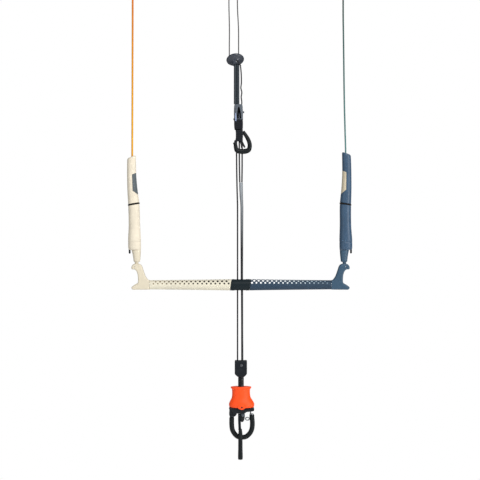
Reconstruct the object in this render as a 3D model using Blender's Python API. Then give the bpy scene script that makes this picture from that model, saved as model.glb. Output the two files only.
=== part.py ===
"""Kitesurf control bar: trim ring, cleat and trim handle on the front lines,
sheathed depower line, sliding and tilting bar with winder ends and line
floats, swivel, push-away quick release, harness loop and retaining finger.

Metres, +Z up, +X to the right of a rider looking at the bar from the front,
-Y to the front.  The origin is midway between the front lines' end loops,
where the kite's lines hold everything below.
"""
import math

import bmesh
import bpy
from mathutils import Matrix, Vector

MM = 0.001
GAP = 0.3                      # clearance between touching pieces, mm

# ---------------------------------------------------------------- dimensions
# All in millimetres.
# front lines and their end loops
FRONT_R = 1.2
FRONT_TOP_X = (-10.2, 10.2)    # where each line leaves its end loop
FRONT_LOW = ((-9.3, -199.4), (12.9, -196.4))
LOOP_TOP_Z = 0.0
KNOT_Z = (-46.0, -34.0)

# trim ring (tilted disc that the front lines hang from)
RING_C = (4.8, 0.0, -205.4)
RING_R = 21.4
RING_HALF_T = 4.0
RING_PITCH = 32.0              # degrees, underside towards the front
RING_ROLL = 7.0                # degrees, right side up
RING_BORE = 3.4

# trim line
TRIM_Y = -5.5
TRIM_A_X, TRIM_A_R = 4.8, 3.0
TRIM_B_X, TRIM_B_R = 11.5, 2.9
TRIM_TOP_Z = -216.5

# cleat
CLEAT_X = (1.7, 23.3)
CLEAT_Y = (-13.0, 9.0)
CLEAT_Z = (-350.1, -313.4)
BOOT_Z = (-374.4, -350.4)

# lines below the cleat
STRAND_R = 1.35
MAIN_X, MAIN_R = 20.9, 3.5
SAFE_X, SAFE_R = 10.4, 1.6
SHEATH_TOP = -500.5
HOUSE_TOP = -927.1

# bar
BAR_X, BAR_Z = 17.5, -745.9
TILT_X = 16.65                 # the bar tilts about this, midway between the lines
HUB_R, HUB_HALF, HUB_SLANT = 13.8, 23.4, 0.135
BUSH_R, BUSH_HALF_Y = 9.9, 8.4
TUBE_R, TUBE_RI = 8.9, 7.3
GRIP_R_END, GRIP_R_MID = 11.0, 13.5
GRIP_END = 217.6
END_IN = 218.0
NECK_DX, NECK_DZ = 249.2, 50.3

# swivel and quick release
SPIN_X = 18.6
STEM_R = 6.8
SLEEVE_X = 18.7

# harness loop
HINGE_X, HINGE_Z = -2.4, -1048.8
LOOP_R = 5.4

FINGER_X, FINGER_Y = 15.1, -9.0
FINGER_PIVOT_Z = -1056.3


# ------------------------------------------------------------------- helpers
for o in list(bpy.data.objects):
    bpy.data.objects.remove(o, do_unlink=True)

scene_root = bpy.context.scene.collection


def material(name, rgb, rough=0.5, metal=0.0):
    m = bpy.data.materials.new(name)
    m.use_nodes = True
    b = m.node_tree.nodes["Principled BSDF"]
    b.inputs["Base Color"].default_value = (*rgb, 1.0)
    b.inputs["Roughness"].default_value = rough
    b.inputs["Metallic"].default_value = metal
    return m


CREAM = (0.76, 0.68, 0.53)
BLUE = (0.045, 0.09, 0.17)
SLATE = (0.07, 0.09, 0.12)
TAN = (0.70, 0.52, 0.33)
BLACK = (0.012, 0.014, 0.018)
NAVY = (0.015, 0.022, 0.035)
ORANGE = (0.95, 0.10, 0.02)
STEEL = (0.6, 0.62, 0.65)
GREY = (0.20, 0.22, 0.26)
LINE_GREY = (0.16, 0.16, 0.16)


def finish(name, mesh_or_bm, mat, smooth=35.0):
    if isinstance(mesh_or_bm, bmesh.types.BMesh):
        bm = mesh_or_bm
        bmesh.ops.recalc_face_normals(bm, faces=bm.faces)
        if bm.calc_volume(signed=True) < 0:
            bmesh.ops.reverse_faces(bm, faces=bm.faces)
        me = bpy.data.meshes.new(name)
        bm.to_mesh(me)
        bm.free()
    else:
        me = mesh_or_bm
    if smooth:
        me.shade_smooth()
        me.set_sharp_from_angle(angle=math.radians(smooth))
    ob = bpy.data.objects.new(name, me)
    scene_root.objects.link(ob)
    rgb, rough, metal = mat
    me.materials.append(material(name + "_mat", rgb, rough, metal))
    return ob


def loft(rings, capped=True, looped=False):
    """Rings of equal length, millimetres; looped joins last to first."""
    bm = bmesh.new()
    vs = [[bm.verts.new(Vector(p) * MM) for p in r] for r in rings]
    n = len(rings[0])
    pairs = list(zip(vs, vs[1:]))
    if looped:
        pairs.append((vs[-1], vs[0]))
    for a, b in pairs:
        for i in range(n):
            j = (i + 1) % n
            bm.faces.new((a[i], a[j], b[j], b[i]))
    if capped and not looped:
        bm.faces.new(list(reversed(vs[0])))
        bm.faces.new(vs[-1])
    return bm


def circle(c, r, n=24, axis="Z", phase=0.0, ry=None):
    ry = r if ry is None else ry
    out = []
    for i in range(n):
        t = 2 * math.pi * (i + phase) / n
        u, v = r * math.cos(t), ry * math.sin(t)
        if axis == "Z":
            out.append((c[0] + u, c[1] + v, c[2]))
        elif axis == "X":
            out.append((c[0], c[1] + u, c[2] + v))
        else:
            out.append((c[0] + v, c[1], c[2] + u))
    return out


def turned(profile, c, axis="Z", n=24, looped=False, ratio=1.0):
    """profile: (radius, position along the axis)."""
    k = {"X": 0, "Y": 1, "Z": 2}[axis]
    rings = []
    for r, p in profile:
        cc = list(c)
        cc[k] = p
        rings.append(circle(cc, r, n, axis, ry=r * ratio))
    return loft(rings, looped=looped)


def box_bm(lo, hi):
    bm = bmesh.new()
    bmesh.ops.create_cube(bm, size=1.0)
    for v in bm.verts:
        for k in range(3):
            v.co[k] = ((lo[k] + hi[k]) / 2 + v.co[k] * (hi[k] - lo[k])) * MM
    return bm


def prism(points, y0, y1):
    """Outline in X, Z extruded from y0 to y1."""
    return loft([[(x, y0, z) for x, z in points], [(x, y1, z) for x, z in points]])


def smooth_path(pts, per=4):
    """Catmull-Rom curve through the points."""
    p = [Vector(q) for q in pts]
    p = [2 * p[0] - p[1]] + p + [2 * p[-1] - p[-2]]
    out = []
    for i in range(1, len(p) - 2):
        for k in range(per):
            t = k / per
            a, b, c, d = p[i - 1], p[i], p[i + 1], p[i + 2]
            out.append(0.5 * ((2 * b) + (c - a) * t + (2 * a - 5 * b + 4 * c - d) * t * t
                              + (3 * b - a - 3 * c + d) * t ** 3))
    out.append(p[-2])
    return out


def sweep(pts, radii, n=12, normal=(0, 1, 0), capped=True, looped=False, phase=0.0):
    """Round section along a path that stays in the plane normal to `normal`."""
    nn = Vector(normal)
    rings = []
    m = len(pts)
    for i, p in enumerate(pts):
        p = Vector(p)
        if looped:
            t = Vector(pts[(i + 1) % m]) - Vector(pts[i - 1])
        else:
            t = Vector(pts[min(i + 1, m - 1)]) - Vector(pts[max(i - 1, 0)])
        t.normalize()
        side = t.cross(nn).normalized()
        r = radii[i] if hasattr(radii, "__len__") else radii
        ra, rb = r if hasattr(r, "__len__") else (r, r)
        ring = []
        for k in range(n):
            a = 2 * math.pi * (k + phase) / n
            ring.append(tuple(p + side * (ra * math.cos(a)) + nn * (rb * math.sin(a))))
        rings.append(ring)
    return loft(rings, capped=capped, looped=looped)


def cord_tube(name, pts, r, mat, res=2):
    """A cord's tube as a curve on a POLY spline, with filled caps."""
    cu = bpy.data.curves.new(name, "CURVE")
    cu.dimensions = "3D"
    cu.bevel_depth = r * MM
    cu.bevel_resolution = res
    cu.use_fill_caps = True
    cu.render_resolution_u = 0
    sp = cu.splines.new("POLY")
    sp.points.add(len(pts) - 1)
    for s, q in zip(sp.points, pts):
        s.co = (q[0] * MM, q[1] * MM, q[2] * MM, 1.0)
    sp.use_smooth = True
    rgb, rough, metal = mat
    cu.materials.append(material(name + "_mat", rgb, rough, metal))
    ob = bpy.data.objects.new(name, cu)
    scene_root.objects.link(ob)
    return ob


def spaced(pts, step):
    """Points of a polyline resampled at about `step`."""
    p = [Vector(q) for q in pts]
    cum = [0.0]
    for a, b in zip(p, p[1:]):
        cum.append(cum[-1] + (b - a).length)
    n = max(1, round(cum[-1] / step))
    out = []
    j = 0
    for i in range(n + 1):
        s = cum[-1] * i / n
        while j < len(cum) - 2 and cum[j + 1] < s:
            j += 1
        f = (s - cum[j]) / max(cum[j + 1] - cum[j], 1e-9)
        out.append(p[j].lerp(p[j + 1], min(max(f, 0.0), 1.0)))
    return out


def cutter(name, bm):
    ob = finish(name, bm, (GREY, 0.5, 0.0), smooth=0)
    ob.hide_render = True
    ob.display_type = "WIRE"
    return ob


def boolean(ob, cut, op="DIFFERENCE"):
    m = ob.modifiers.new(op.lower(), "BOOLEAN")
    m.operation = op
    m.solver = "EXACT"
    m.object = cut
    return ob


def bevel(ob, width, seg=2, angle=40.0):
    m = ob.modifiers.new("bevel", "BEVEL")
    m.width = width * MM
    m.segments = seg
    m.limit_method = "ANGLE"
    m.angle_limit = math.radians(angle)
    return ob


# --------------------------------------------------------- front lines, top
for side, tx, low in (("left", FRONT_TOP_X[0], FRONT_LOW[0]), ("right", FRONT_TOP_X[1], FRONT_LOW[1])):
    # the line
    route = smooth_path([(low[0], 0, low[1]), (low[0], 0, low[1] + 30), (low[0] * 0.98, 0, -130),
                         (tx, 0, -80), (tx, 0, KNOT_Z[0] - GAP)], 4)
    cord_tube("front_line_" + side, spaced(route, 11.0), FRONT_R, (LINE_GREY, 0.6, 0.0))
    # end loop: a teardrop of line standing in its stopper knot
    w, top = 6.0, LOOP_TOP_Z - 1.3
    drop = smooth_path([(tx + 0.0, 0, KNOT_Z[0] + 4), (tx + 1.9, 0, KNOT_Z[1] + 1), (tx + w, 0, -14),
                        (tx + w * 0.72, 0, -5.5), (tx, 0, top), (tx - w * 0.72, 0, -5.5), (tx - w, 0, -14),
                        (tx - 1.9, 0, KNOT_Z[1] + 1), (tx + 0.0, 0, KNOT_Z[0] + 4)], 3)
    # the two feet meet inside the knot, side by side
    drop = [Vector((q[0] + (0.9 if i < len(drop) / 2 else -0.9) * (1 if abs(q[0] - tx) < 1.5 and q[2] < -30 else 0),
                    0, q[2])) for i, q in enumerate(drop)]
    strand = sweep(drop, 1.2, n=6)
    lp = finish("front_loop_" + side, strand, (LINE_GREY, 0.6, 0.0))
    z0, z1 = KNOT_Z
    knot = turned([(1.2, z0), (3.0, z0 + 1.0), (3.6, z0 + 3.2), (3.2, z0 + 6.0), (3.6, z0 + 8.6),
                   (2.8, z1 - 0.6), (1.4, z1)], (tx, 0, 0), n=10)
    boolean(lp, cutter("cut_knot_" + side, knot), "UNION")

# ------------------------------------------------------------- trim ring
ring_rot = (Matrix.Rotation(math.radians(-RING_ROLL), 4, "Y") @ Matrix.Rotation(math.radians(-RING_PITCH), 4, "X"))
prof = [(RING_BORE, 5.2), (7.0, 5.6), (14.5, 4.6), (18.0, RING_HALF_T), (20.6, 2.2), (RING_R, 0.0), (20.6, -2.4),
        (18.0, -RING_HALF_T), (14.0, -5.2), (8.6, -9.0), (6.6, -10.0), (RING_BORE, -9.4)]
ring_bm = turned(prof, (0, 0, 0), n=26, looped=True)
ring_bm.transform(Matrix.Translation(Vector(RING_C) * MM) @ ring_rot)
finish("trim_ring", ring_bm, (SLATE, 0.45, 0.0), smooth=30)

# trim line: standing strand, and the running strand that ends in the handle
cord_tube("trim_strand", spaced([(TRIM_A_X, TRIM_Y, TRIM_TOP_Z), (TRIM_A_X, TRIM_Y, CLEAT_Z[1] + GAP)], 19.0),
          TRIM_A_R, (SLATE, 0.7, 0.0), 2)
cord_tube("trim_tail", spaced([(TRIM_B_X, TRIM_Y, TRIM_TOP_Z), (TRIM_B_X, TRIM_Y, -377.6)], 20.0),
          TRIM_B_R, (SLATE, 0.7, 0.0), 2)
# safety line between the ring and the cleat
cord_tube("safety_upper", spaced(smooth_path(
    [(17.4, -6.0, -219.5), (19.2, -6.0, -240), (19.6, -6.0, -262), (18.4, -6.0, -274), (20.6, -6.0, -285),
     (19.2, -6.0, -296), (20.4, -6.0, -306), (20.6, -6.0, CLEAT_Z[1] + GAP)], 5), 5.5), 1.15, (BLACK, 0.6, 0.0), 2)

# ------------------------------------------------------------------ cleat
cx0, cx1 = CLEAT_X
outline = [(cx0 + 0.6, CLEAT_Z[0]), (cx1, CLEAT_Z[0]), (cx1 + 0.2, -335), (cx1 - 0.4, -322), (cx1 - 1.6, CLEAT_Z[1]),
           (cx0 + 1.6, CLEAT_Z[1]), (cx0 + 0.2, -322), (cx0, -335)]
window = cutter("cut_window", prism([(8.9, -348.0), (18.9, -348.0), (18.4, -338), (16.6, -328), (13.4, -319.6),
                                     (10.9, -328), (9.4, -338)], -20.0, -8.2))
channel = cutter("cut_channel", turned([(3.3, -400), (3.3, -300)], (TRIM_B_X, TRIM_Y, 0), n=16))
front = finish("cleat_front", prism(outline, CLEAT_Y[0], -GAP / 2), (GREY, 0.4, 0.0))
bevel(front, 2.4)
boolean(front, window)
boolean(front, channel)
back = finish("cleat_back", prism(outline, GAP / 2, CLEAT_Y[1]), (GREY, 0.4, 0.0))
bevel(back, 2.4)
cam = finish("cleat_cam", prism([(11.4, -347.2), (16.2, -347.2), (15.8, -337), (14.6, -329), (13.4, -324.5),
                                 (12.5, -329), (11.7, -337)], -12.4, -8.9), (GREY, 0.45, 0.0))
bevel(cam, 0.5, 1)
boot = finish("cleat_boot", prism([(cx0 + 1.6, BOOT_Z[0]), (cx1 - 1.4, BOOT_Z[0]), (cx1 + 0.1, -368), (cx1 + 0.1, BOOT_Z[1]),
                                   (cx0 + 0.6, BOOT_Z[1]), (cx0 + 0.6, -368)], CLEAT_Y[0] + 0.3, CLEAT_Y[1] - 0.3),
              (BLACK, 0.5, 0.0))
bevel(boot, 2.4)
boolean(boot, channel)
pin = finish("cleat_pin", turned([(1.6, cx1 + 0.45), (2.4, cx1 + 0.9), (2.4, cx1 + 2.6), (1.7, cx1 + 3.2)],
                                 (0, -4.0, -332.0), axis="X", n=12), (STEEL, 0.35, 1.0))

# ------------------------------------------------ lines from cleat to swivel
cord_tube("depower_strand_left", spaced(smooth_path(
    [(14.9, 0, BOOT_Z[0] - GAP), (14.9, 0, -420), (15.6, 0, -460), (16.4, 0, SHEATH_TOP + GAP)], 6), 12.0),
    STRAND_R, (LINE_GREY, 0.6, 0.0), 2)
cord_tube("depower_strand_right", spaced(smooth_path(
    [(21.2, 0, BOOT_Z[0] - GAP), (21.4, 0, -420), (21.4, 0, -460), (20.9, 0, SHEATH_TOP + GAP)], 6), 12.0),
    STRAND_R, (LINE_GREY, 0.6, 0.0), 2)
sheath = [((18.6, 0, SHEATH_TOP), (4.3, 2.9)), ((18.7, 0, -508), (4.5, 3.1)), ((19.3, 0, -530), (4.0, 3.3)),
          ((20.4, 0, -550), (MAIN_R, MAIN_R)), ((MAIN_X, 0, -560), (MAIN_R, MAIN_R)),
          ((MAIN_X, 0, -650), (MAIN_R, MAIN_R)), ((MAIN_X, 0, -740), (MAIN_R, MAIN_R)),
          ((MAIN_X, 0, -830), (MAIN_R, MAIN_R)), ((MAIN_X, 0, HOUSE_TOP + GAP), (MAIN_R, MAIN_R))]
finish("depower_tube", sweep([s[0] for s in sheath], [s[1] for s in sheath], n=12), (BLACK, 0.35, 0.0))
cord_tube("safety_line", spaced(smooth_path(
    [(7.9, 0, BOOT_Z[0] - GAP), (8.0, 0, -430), (8.9, 0, -500), (10.1, 0, -545), (SAFE_X, 0, -562), (SAFE_X, 0, -640),
     (SAFE_X, 0, -780), (SAFE_X, 0, HOUSE_TOP + GAP)], 8), 26.0), SAFE_R, (BLACK, 0.5, 0.0), 2)

# ------------------------------------------------------------ trim handle
HY = -9.6
stop = finish("handle_stopper", prism([(6.2, -378.2), (20.2, -377.8), (21.0, -382), (19.6, -390), (17.8, -396), (18.4, -402.4),
                                       (6.2, -402.4), (5.0, -398), (6.8, -392), (6.2, -386)], HY - 4.2, HY + 4.6),
              (BLACK, 0.55, 0.0))
bevel(stop, 1.8)
hl = [(24.6, HY, -378.6), (26.6, HY, -383.0), (30.6, HY, -388.8), (35.6, HY, -397.6), (39.0, HY, -407.0), (39.4, HY, -416.0),
      (36.2, HY, -423.4), (28.0, HY, -426.2), (18.0, HY, -426.2), (9.6, HY, -424.4), (6.4, HY, -417.0), (5.2, HY, -409.0),
      (3.2, HY, -404.9)]
hr = [3.0, 3.6, 3.9, 4.2, 4.4, 4.8, 5.6, 6.2, 6.2, 5.6, 4.2, 3.6, 3.0]
hp = smooth_path(hl, 2)
hrr = []
for i in range(len(hr) - 1):
    hrr += [hr[i], (hr[i] + hr[i + 1]) / 2]
hrr.append(hr[-1])
handle = finish("handle_loop", sweep(hp, [(a, min(a, 5.2)) for a in hrr], n=10), (BLACK, 0.5, 0.0))
cord_tube("handle_end", spaced(smooth_path([(17.0, HY, -404.2), (19.0, HY, -406.6), (24.0, HY, -412.6), (27.2, HY, -416.0)], 3),
                               3.0), 1.5, (BLACK, 0.5, 0.0), 2)

# ---------------------------------------------------------------- the bar
def along(profile, sgn, bore, slant_in=True, n=28):
    """Ring-section piece along the bar; profile is (distance from centre, radius)."""
    rings = []
    for k, (d, r) in enumerate(profile):
        rings.append([(BAR_X + sgn * d + ((z - BAR_Z) * HUB_SLANT if (k == 0 and slant_in) else 0.0), y, z)
                      for _, y, z in circle((0, 0, BAR_Z), r, n, "X")])
    d0, d1 = profile[0][0], profile[-1][0]
    rings.append(circle((BAR_X + sgn * d1, 0, BAR_Z), bore, n, "X"))
    rings.append([(BAR_X + sgn * d0 + ((z - BAR_Z) * HUB_SLANT if slant_in else 0.0), y, z)
                  for _, y, z in circle((0, 0, BAR_Z), bore, n, "X")])
    return loft(rings, looped=True)


# centre hub, a solid of round section with slanted ends, cut for the lines
hub_rings = []
for d, r in ((-HUB_HALF, HUB_R - 0.3), (-HUB_HALF + 8, HUB_R), (HUB_HALF - 8, HUB_R), (HUB_HALF, HUB_R - 0.3)):
    hub_rings.append([(BAR_X + d + (z - BAR_Z) * HUB_SLANT, y, z) for _, y, z in circle((0, 0, BAR_Z), r, 32, "X", phase=0.5)])
cavity = cutter("cut_cavity", turned([(BUSH_R + GAP, -BUSH_HALF_Y - GAP), (BUSH_R + GAP, BUSH_HALF_Y + GAP)],
                                     (TILT_X, 0, BAR_Z), axis="Y", n=28))
w0, wk = 8.9, 0.38
slot = cutter("cut_slot", prism([(TILT_X - w0, BAR_Z), (TILT_X - w0 - wk * 18, BAR_Z - 18), (TILT_X + w0 + wk * 18, BAR_Z - 18),
                                 (TILT_X + w0, BAR_Z), (TILT_X + w0 + wk * 18, BAR_Z + 18),
                                 (TILT_X - w0 - wk * 18, BAR_Z + 18)], -4.3, 4.3))
sock_l = cutter("cut_socket_l", turned([(TUBE_R + GAP, BAR_X - 40), (TUBE_R + GAP, BAR_X - 13.0)], (0, 0, BAR_Z), axis="X", n=24))
sock_r = cutter("cut_socket_r", turned([(TUBE_R + GAP, BAR_X + 13.0), (TUBE_R + GAP, BAR_X + 40)], (0, 0, BAR_Z), axis="X", n=24))
for nm, y0, y1 in (("hub_front", -GAP / 2, 40), ("hub_back", -40, GAP / 2)):
    ob = finish(nm, loft(hub_rings), (NAVY, 0.5, 0.0), smooth=25)
    half = cutter("cut_" + nm, box_bm((BAR_X - 60, y0, BAR_Z - 30), (BAR_X + 60, y1, BAR_Z + 30)))
    for c in (cavity, slot, sock_l, sock_r, half):
        boolean(ob, c)

# bushing that runs on the lines while the bar tilts round it
bush = finish("line_bushing", turned([(BUSH_R - 0.8, -BUSH_HALF_Y), (BUSH_R, -BUSH_HALF_Y + 0.8), (BUSH_R, BUSH_HALF_Y - 0.8),
                                      (BUSH_R - 0.8, BUSH_HALF_Y)], (TILT_X, 0, BAR_Z), axis="Y", n=28), (STEEL, 0.3, 1.0), smooth=25)
boolean(bush, cutter("cut_main", turned([(MAIN_R + GAP, BAR_Z - 30), (MAIN_R + GAP, BAR_Z + 30)], (MAIN_X, 0, 0), n=16)))
boolean(bush, cutter("cut_safe", turned([(SAFE_R + GAP, BAR_Z - 30), (SAFE_R + GAP, BAR_Z + 30)], (SAFE_X, 0, 0), n=12)))

END_PTS = [(END_IN, 11.4), (221.0, 11.6), (226.8, 18.7), (230.4, 27.1), (234.0, 37.9), (236.4, 45.1), (241.2, 49.9),
           (254.4, 50.6), (259.2, 47.5), (261.6, 42.0), (260.4, 37.2), (254.4, 37.2), (249.6, 33.1), (246.5, 25.9),
           (245.3, 13.9), (245.5, 4.3), (253.2, 0.5), (260.4, -4.8), (261.1, -8.6), (257.5, -11.5), (END_IN, -11.5)]
for side, sgn, col in (("left", -1, CREAM), ("right", 1, BLUE)):
    finish("bar_tube_" + side, along([(13.4, TUBE_R), (238.0, TUBE_R)], sgn, TUBE_RI, slant_in=False, n=24),
           (STEEL, 0.3, 1.0), smooth=25)
    prof = [(HUB_HALF + GAP, GRIP_R_MID)]
    for k in range(1, 7):
        t = k / 6
        prof.append((HUB_HALF + (GRIP_END - HUB_HALF) * t, GRIP_R_MID + (GRIP_R_END - GRIP_R_MID) * (t ** 0.8)))
    finish("grip_" + side, along(prof, sgn, TUBE_R + GAP), (col, 0.6, 0.0), smooth=25)
    end = finish("bar_end_" + side, prism([(BAR_X + sgn * d, BAR_Z + z) for d, z in END_PTS], -9.0, 9.0), (col, 0.45, 0.0))
    bevel(end, 2.6, 1, 50)
    boolean(end, cutter("cut_end_" + side, turned(
        sorted([(TUBE_R + GAP, BAR_X + sgn * 200), (TUBE_R + GAP, BAR_X + sgn * 238.5)], key=lambda q: q[1]),
        (0, 0, BAR_Z), axis="X", n=24)))
    ball = bmesh.new()
    bmesh.ops.create_uvsphere(ball, u_segments=16, v_segments=8, radius=5.2 * MM)
    ball.transform(Matrix.Translation(Vector((BAR_X + sgn * NECK_DX, 0, BAR_Z + NECK_DZ)) * MM))
    boolean(end, cutter("cut_dish_" + side, ball))

# -------------------------------------------------------------- line floats
# height above the float's foot: outer, inner and front half-widths, mm
FLOAT_SECTIONS = ((29.1, 14.5, 11.4, 11.6), (30.6, 17.6, 11.8, 13.2), (34.0, 18.6, 12.0, 14.2), (52.8, 18.2, 12.5, 15.0),
                  (88.8, 15.2, 12.1, 14.5), (137.0, 14.4, 12.5, 14.0), (172.8, 14.9, 9.3, 13.0), (208.8, 14.2, 7.7, 12.0),
                  (240.0, 12.9, 8.4, 10.8), (247.0, 12.5, 8.7, 10.4))
BAND_H = (137.3, 140.7)
FOOT_LIFT = 4.6                # the float's foot above the neck's pivot


def section_at(h):
    s = FLOAT_SECTIONS
    for a, b in zip(s, s[1:]):
        if h <= b[0]:
            t = (h - a[0]) / (b[0] - a[0])
            return tuple(a[k] + (b[k] - a[k]) * t for k in (1, 2, 3))
    return s[-1][1:]


def oval(out, inn, dep, n=20, grow=0.0, power=2.35):
    """Rounded section: x outward is negative, inward positive."""
    c, a, b = (inn - out) / 2, (inn + out) / 2 + grow, dep + grow
    pts = []
    for i in range(n):
        t = 2 * math.pi * i / n
        ct, st = math.cos(t), math.sin(t)
        pts.append((c + a * math.copysign(abs(ct) ** (2 / power), ct), b * math.copysign(abs(st) ** (2 / power), st)))
    return pts


def float_ring(h, slope=0.0, grow=0.0, n=20, top=None):
    o, i, d = section_at(h)
    if top:
        o, i, d = top
    return [(x, y, h + slope * x) for x, y in oval(o, i, d, n, grow)]


def bore_ring(h, r, slope=0.0, n=20):
    return [(r * math.cos(2 * math.pi * k / n), r * math.sin(2 * math.pi * k / n),
             h + slope * r * math.cos(2 * math.pi * k / n)) for k in range(n)]


CORE_R, CORE_TOP = 4.4, 236.0
for side, sgn, lean, length_add, col, inlay_col, line_r, line_col in (
        ("left", -1, 2.35, 0.0, CREAM, SLATE, 2.1, (0.80, 0.36, 0.06)),
        ("right", 1, 0.7, 8.0, BLUE, TAN, 1.75, (0.10, 0.22, 0.22))):
    # float frame: +x towards the bar's middle, mirrored on the right
    mirror = Matrix.Diagonal((1, 1, 1, 1)) if sgn < 0 else Matrix.Diagonal((-1, 1, 1, 1))
    frame = (Matrix.Translation(Vector((BAR_X + sgn * NECK_DX, 0, BAR_Z + NECK_DZ)) * MM)
             @ Matrix.Rotation(math.radians(lean * sgn), 4, "Y") @ mirror)
    lift = FOOT_LIFT

    def up(h):
        """Heights above the band stretch on the longer float."""
        return h + (length_add * max(0.0, min(1.0, (h - 141.0) / 100.0)))

    def put(rings):
        return [[(x, y, up(z) + lift) for x, y, z in r] for r in rings]

    def placed(name, bm, mat, smooth=30):
        bm.transform(frame)
        return finish(name, bm, mat, smooth)

    # neck: ball foot in the bar end's dish, sleeve foot, and the core tube inside the float
    rings = [[(r * math.cos(2 * math.pi * k / 20), r * math.sin(2 * math.pi * k / 20), z) for k in range(20)]
             for r, z in ((1.4, -4.1), (3.1, -3.0), (4.2, -1.2), (CORE_R, 0.0))]
    rings.append([(CORE_R * math.cos(2 * math.pi * k / 20), CORE_R * math.sin(2 * math.pi * k / 20), lift + 0.0) for k in range(20)])
    for h, o, i, d in ((0.0, 6.0, 7.0, 6.6), (2.0, 6.8, 7.6, 7.4), (14.4, 7.9, 8.5, 8.6), (27.0, 9.6, 10.8, 10.4), (28.8, 9.2, 10.4, 10.0)):
        rings.append([(x, y, h + lift + 0.1) for x, y in oval(o, i, d)])
    rings.append([(x, y, 28.8 + lift + 0.1) for x, y, _ in bore_ring(0, CORE_R)])
    rings.append([(x, y, up(CORE_TOP) + lift) for x, y, _ in bore_ring(0, CORE_R)])
    placed("float_neck_" + side, loft(rings), (col, 0.5, 0.0))

    # lower half
    sl = 0.13
    rings = [float_ring(h) for h in (29.1, 30.6, 34.0, 52.8, 88.8, 112.0)] + [float_ring(BAND_H[0] - 0.3, sl),
             bore_ring(BAND_H[0] - 0.3, CORE_R + GAP, sl), bore_ring(29.1, CORE_R + GAP)]
    placed("float_lower_" + side, loft(put(rings), looped=True), (col, 0.65, 0.0))
    # elastic band in the joint
    rings = [float_ring(BAND_H[0], sl, -0.2), float_ring(BAND_H[0] + 0.9, sl, 0.7), float_ring(BAND_H[1] - 0.9, sl, 0.7),
             float_ring(BAND_H[1], sl, -0.2), bore_ring(BAND_H[1], CORE_R + GAP, sl), bore_ring(BAND_H[0], CORE_R + GAP, sl)]
    placed("float_band_" + side, loft(put(rings), looped=True), (BLACK, 0.6, 0.0))
    # upper half, its top cut on a slant
    st = 0.36
    rings = [float_ring(BAND_H[1] + 0.3, sl), float_ring(172.8), float_ring(190.0), float_ring(208.8), float_ring(240.0),
             float_ring(250.6, st, 0.0, top=(12.4, 8.8, 10.2)), float_ring(252.8, st, 0.0, top=(11.0, 7.6, 8.8)),
             bore_ring(253.2, 2.5, st), bore_ring(CORE_TOP + 2.0, 2.5), bore_ring(CORE_TOP + 2.0, CORE_R + GAP),
             bore_ring(BAND_H[1] + 0.3, CORE_R + GAP, sl)]
    # coloured inlay let into the inner side of the upper half
    arc_n = 14

    def c_section(h, depth, slope, shrink):
        """C-shaped band outside the inlay's floor, open to the inner side."""
        o, i, d = section_at(h)
        edge = -1.6 + shrink
        c, a, b = (i - o) / 2, (i + o) / 2 - depth, d - depth
        t0 = math.acos(max(-1.0, min(1.0, math.copysign(abs((edge - c) / a) ** (2.35 / 2), edge - c))))
        pts = [(edge, -25.0), (25.0, -25.0), (25.0, 25.0), (edge, 25.0)]
        for k in range(arc_n + 1):
            t = t0 * (1 - 2 * k / arc_n)
            ct, s_ = math.cos(t), math.sin(t)
            pts.append((c + a * math.copysign(abs(ct) ** (2 / 2.35), ct), b * math.copysign(abs(s_) ** (2 / 2.35), s_)))
        return [(x, y, h + slope * (x - 8.0)) for x, y in pts]

    hh = (163.0, 178.0, 196.0, 213.5)
    upper = placed("float_upper_" + side, loft(put(rings), looped=True), (col, 0.65, 0.0))
    inlay = placed("float_inlay_" + side, loft(put([[tuple(p) for p in r] for r in rings]), looped=True), (inlay_col, 0.6, 0.0))
    big = loft(put([c_section(hh[0], 1.9, -0.8, 0.0), c_section(hh[1], 1.9, 0.0, 0.0), c_section(hh[2], 1.9, 0.0, 0.0),
                    c_section(hh[3], 1.9, 0.4, 0.0)]))
    big.transform(frame)
    small = loft(put([c_section(hh[0] + GAP, 1.5, -0.8, GAP), c_section(hh[1], 1.5, 0.0, GAP),
                      c_section(hh[2], 1.5, 0.0, GAP), c_section(hh[3] - GAP, 1.5, 0.4, GAP)]))
    small.transform(frame)
    boolean(upper, cutter("cut_inlay_" + side, big))
    boolean(inlay, cutter("keep_inlay_" + side, small), "INTERSECT")

    # cord tab under the lower half's outer step
    tab = box_bm((-17.8, -2.2, 20.6 + lift), (-13.4, 2.2, 28.4 + lift))
    bmesh.ops.bevel(tab, geom=list(tab.edges), offset=1.2 * MM, segments=2, affect="EDGES")
    placed("float_tab_" + side, tab, (BLACK, 0.7, 0.0))

    # leader line out of the float's top, up to its knot
    start = frame @ (Vector((0, 0, up(CORE_TOP) + lift + 0.4)) * MM) / MM
    mouth = frame @ (Vector((0, 0, up(254.0) + lift)) * MM) / MM
    top_x = -241.3 if sgn < 0 else 263.9
    mid_x = -241.9 if sgn < 0 else 266.6
    route = smooth_path([tuple(start), tuple(mouth), (mouth[0] + (mid_x - mouth[0]) * 0.5, 0, -370), (mid_x, 0, -302),
                         (top_x + (mid_x - top_x) * 0.4, 0, -180), (top_x, 0, -100), (top_x, 0, KNOT_Z[0] - GAP)], 8)
    cord_tube("leader_line_" + side, spaced(route, 16.0), line_r, (line_col, 0.6, 0.0), 2)
    z0, z1 = KNOT_Z
    finish("leader_knot_" + side, turned([(1.6, z0), (3.8, z0 + 1.0), (4.6, z0 + 3.2), (4.1, z0 + 6.0), (4.6, z0 + 8.8),
                                          (3.6, z1 - 0.8), (2.2, z1), (1.9, z1 + 4.0), (0.8, z1 + 5.0)], (top_x, 0, 0), n=10),
           (line_col, 0.6, 0.0))

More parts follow.
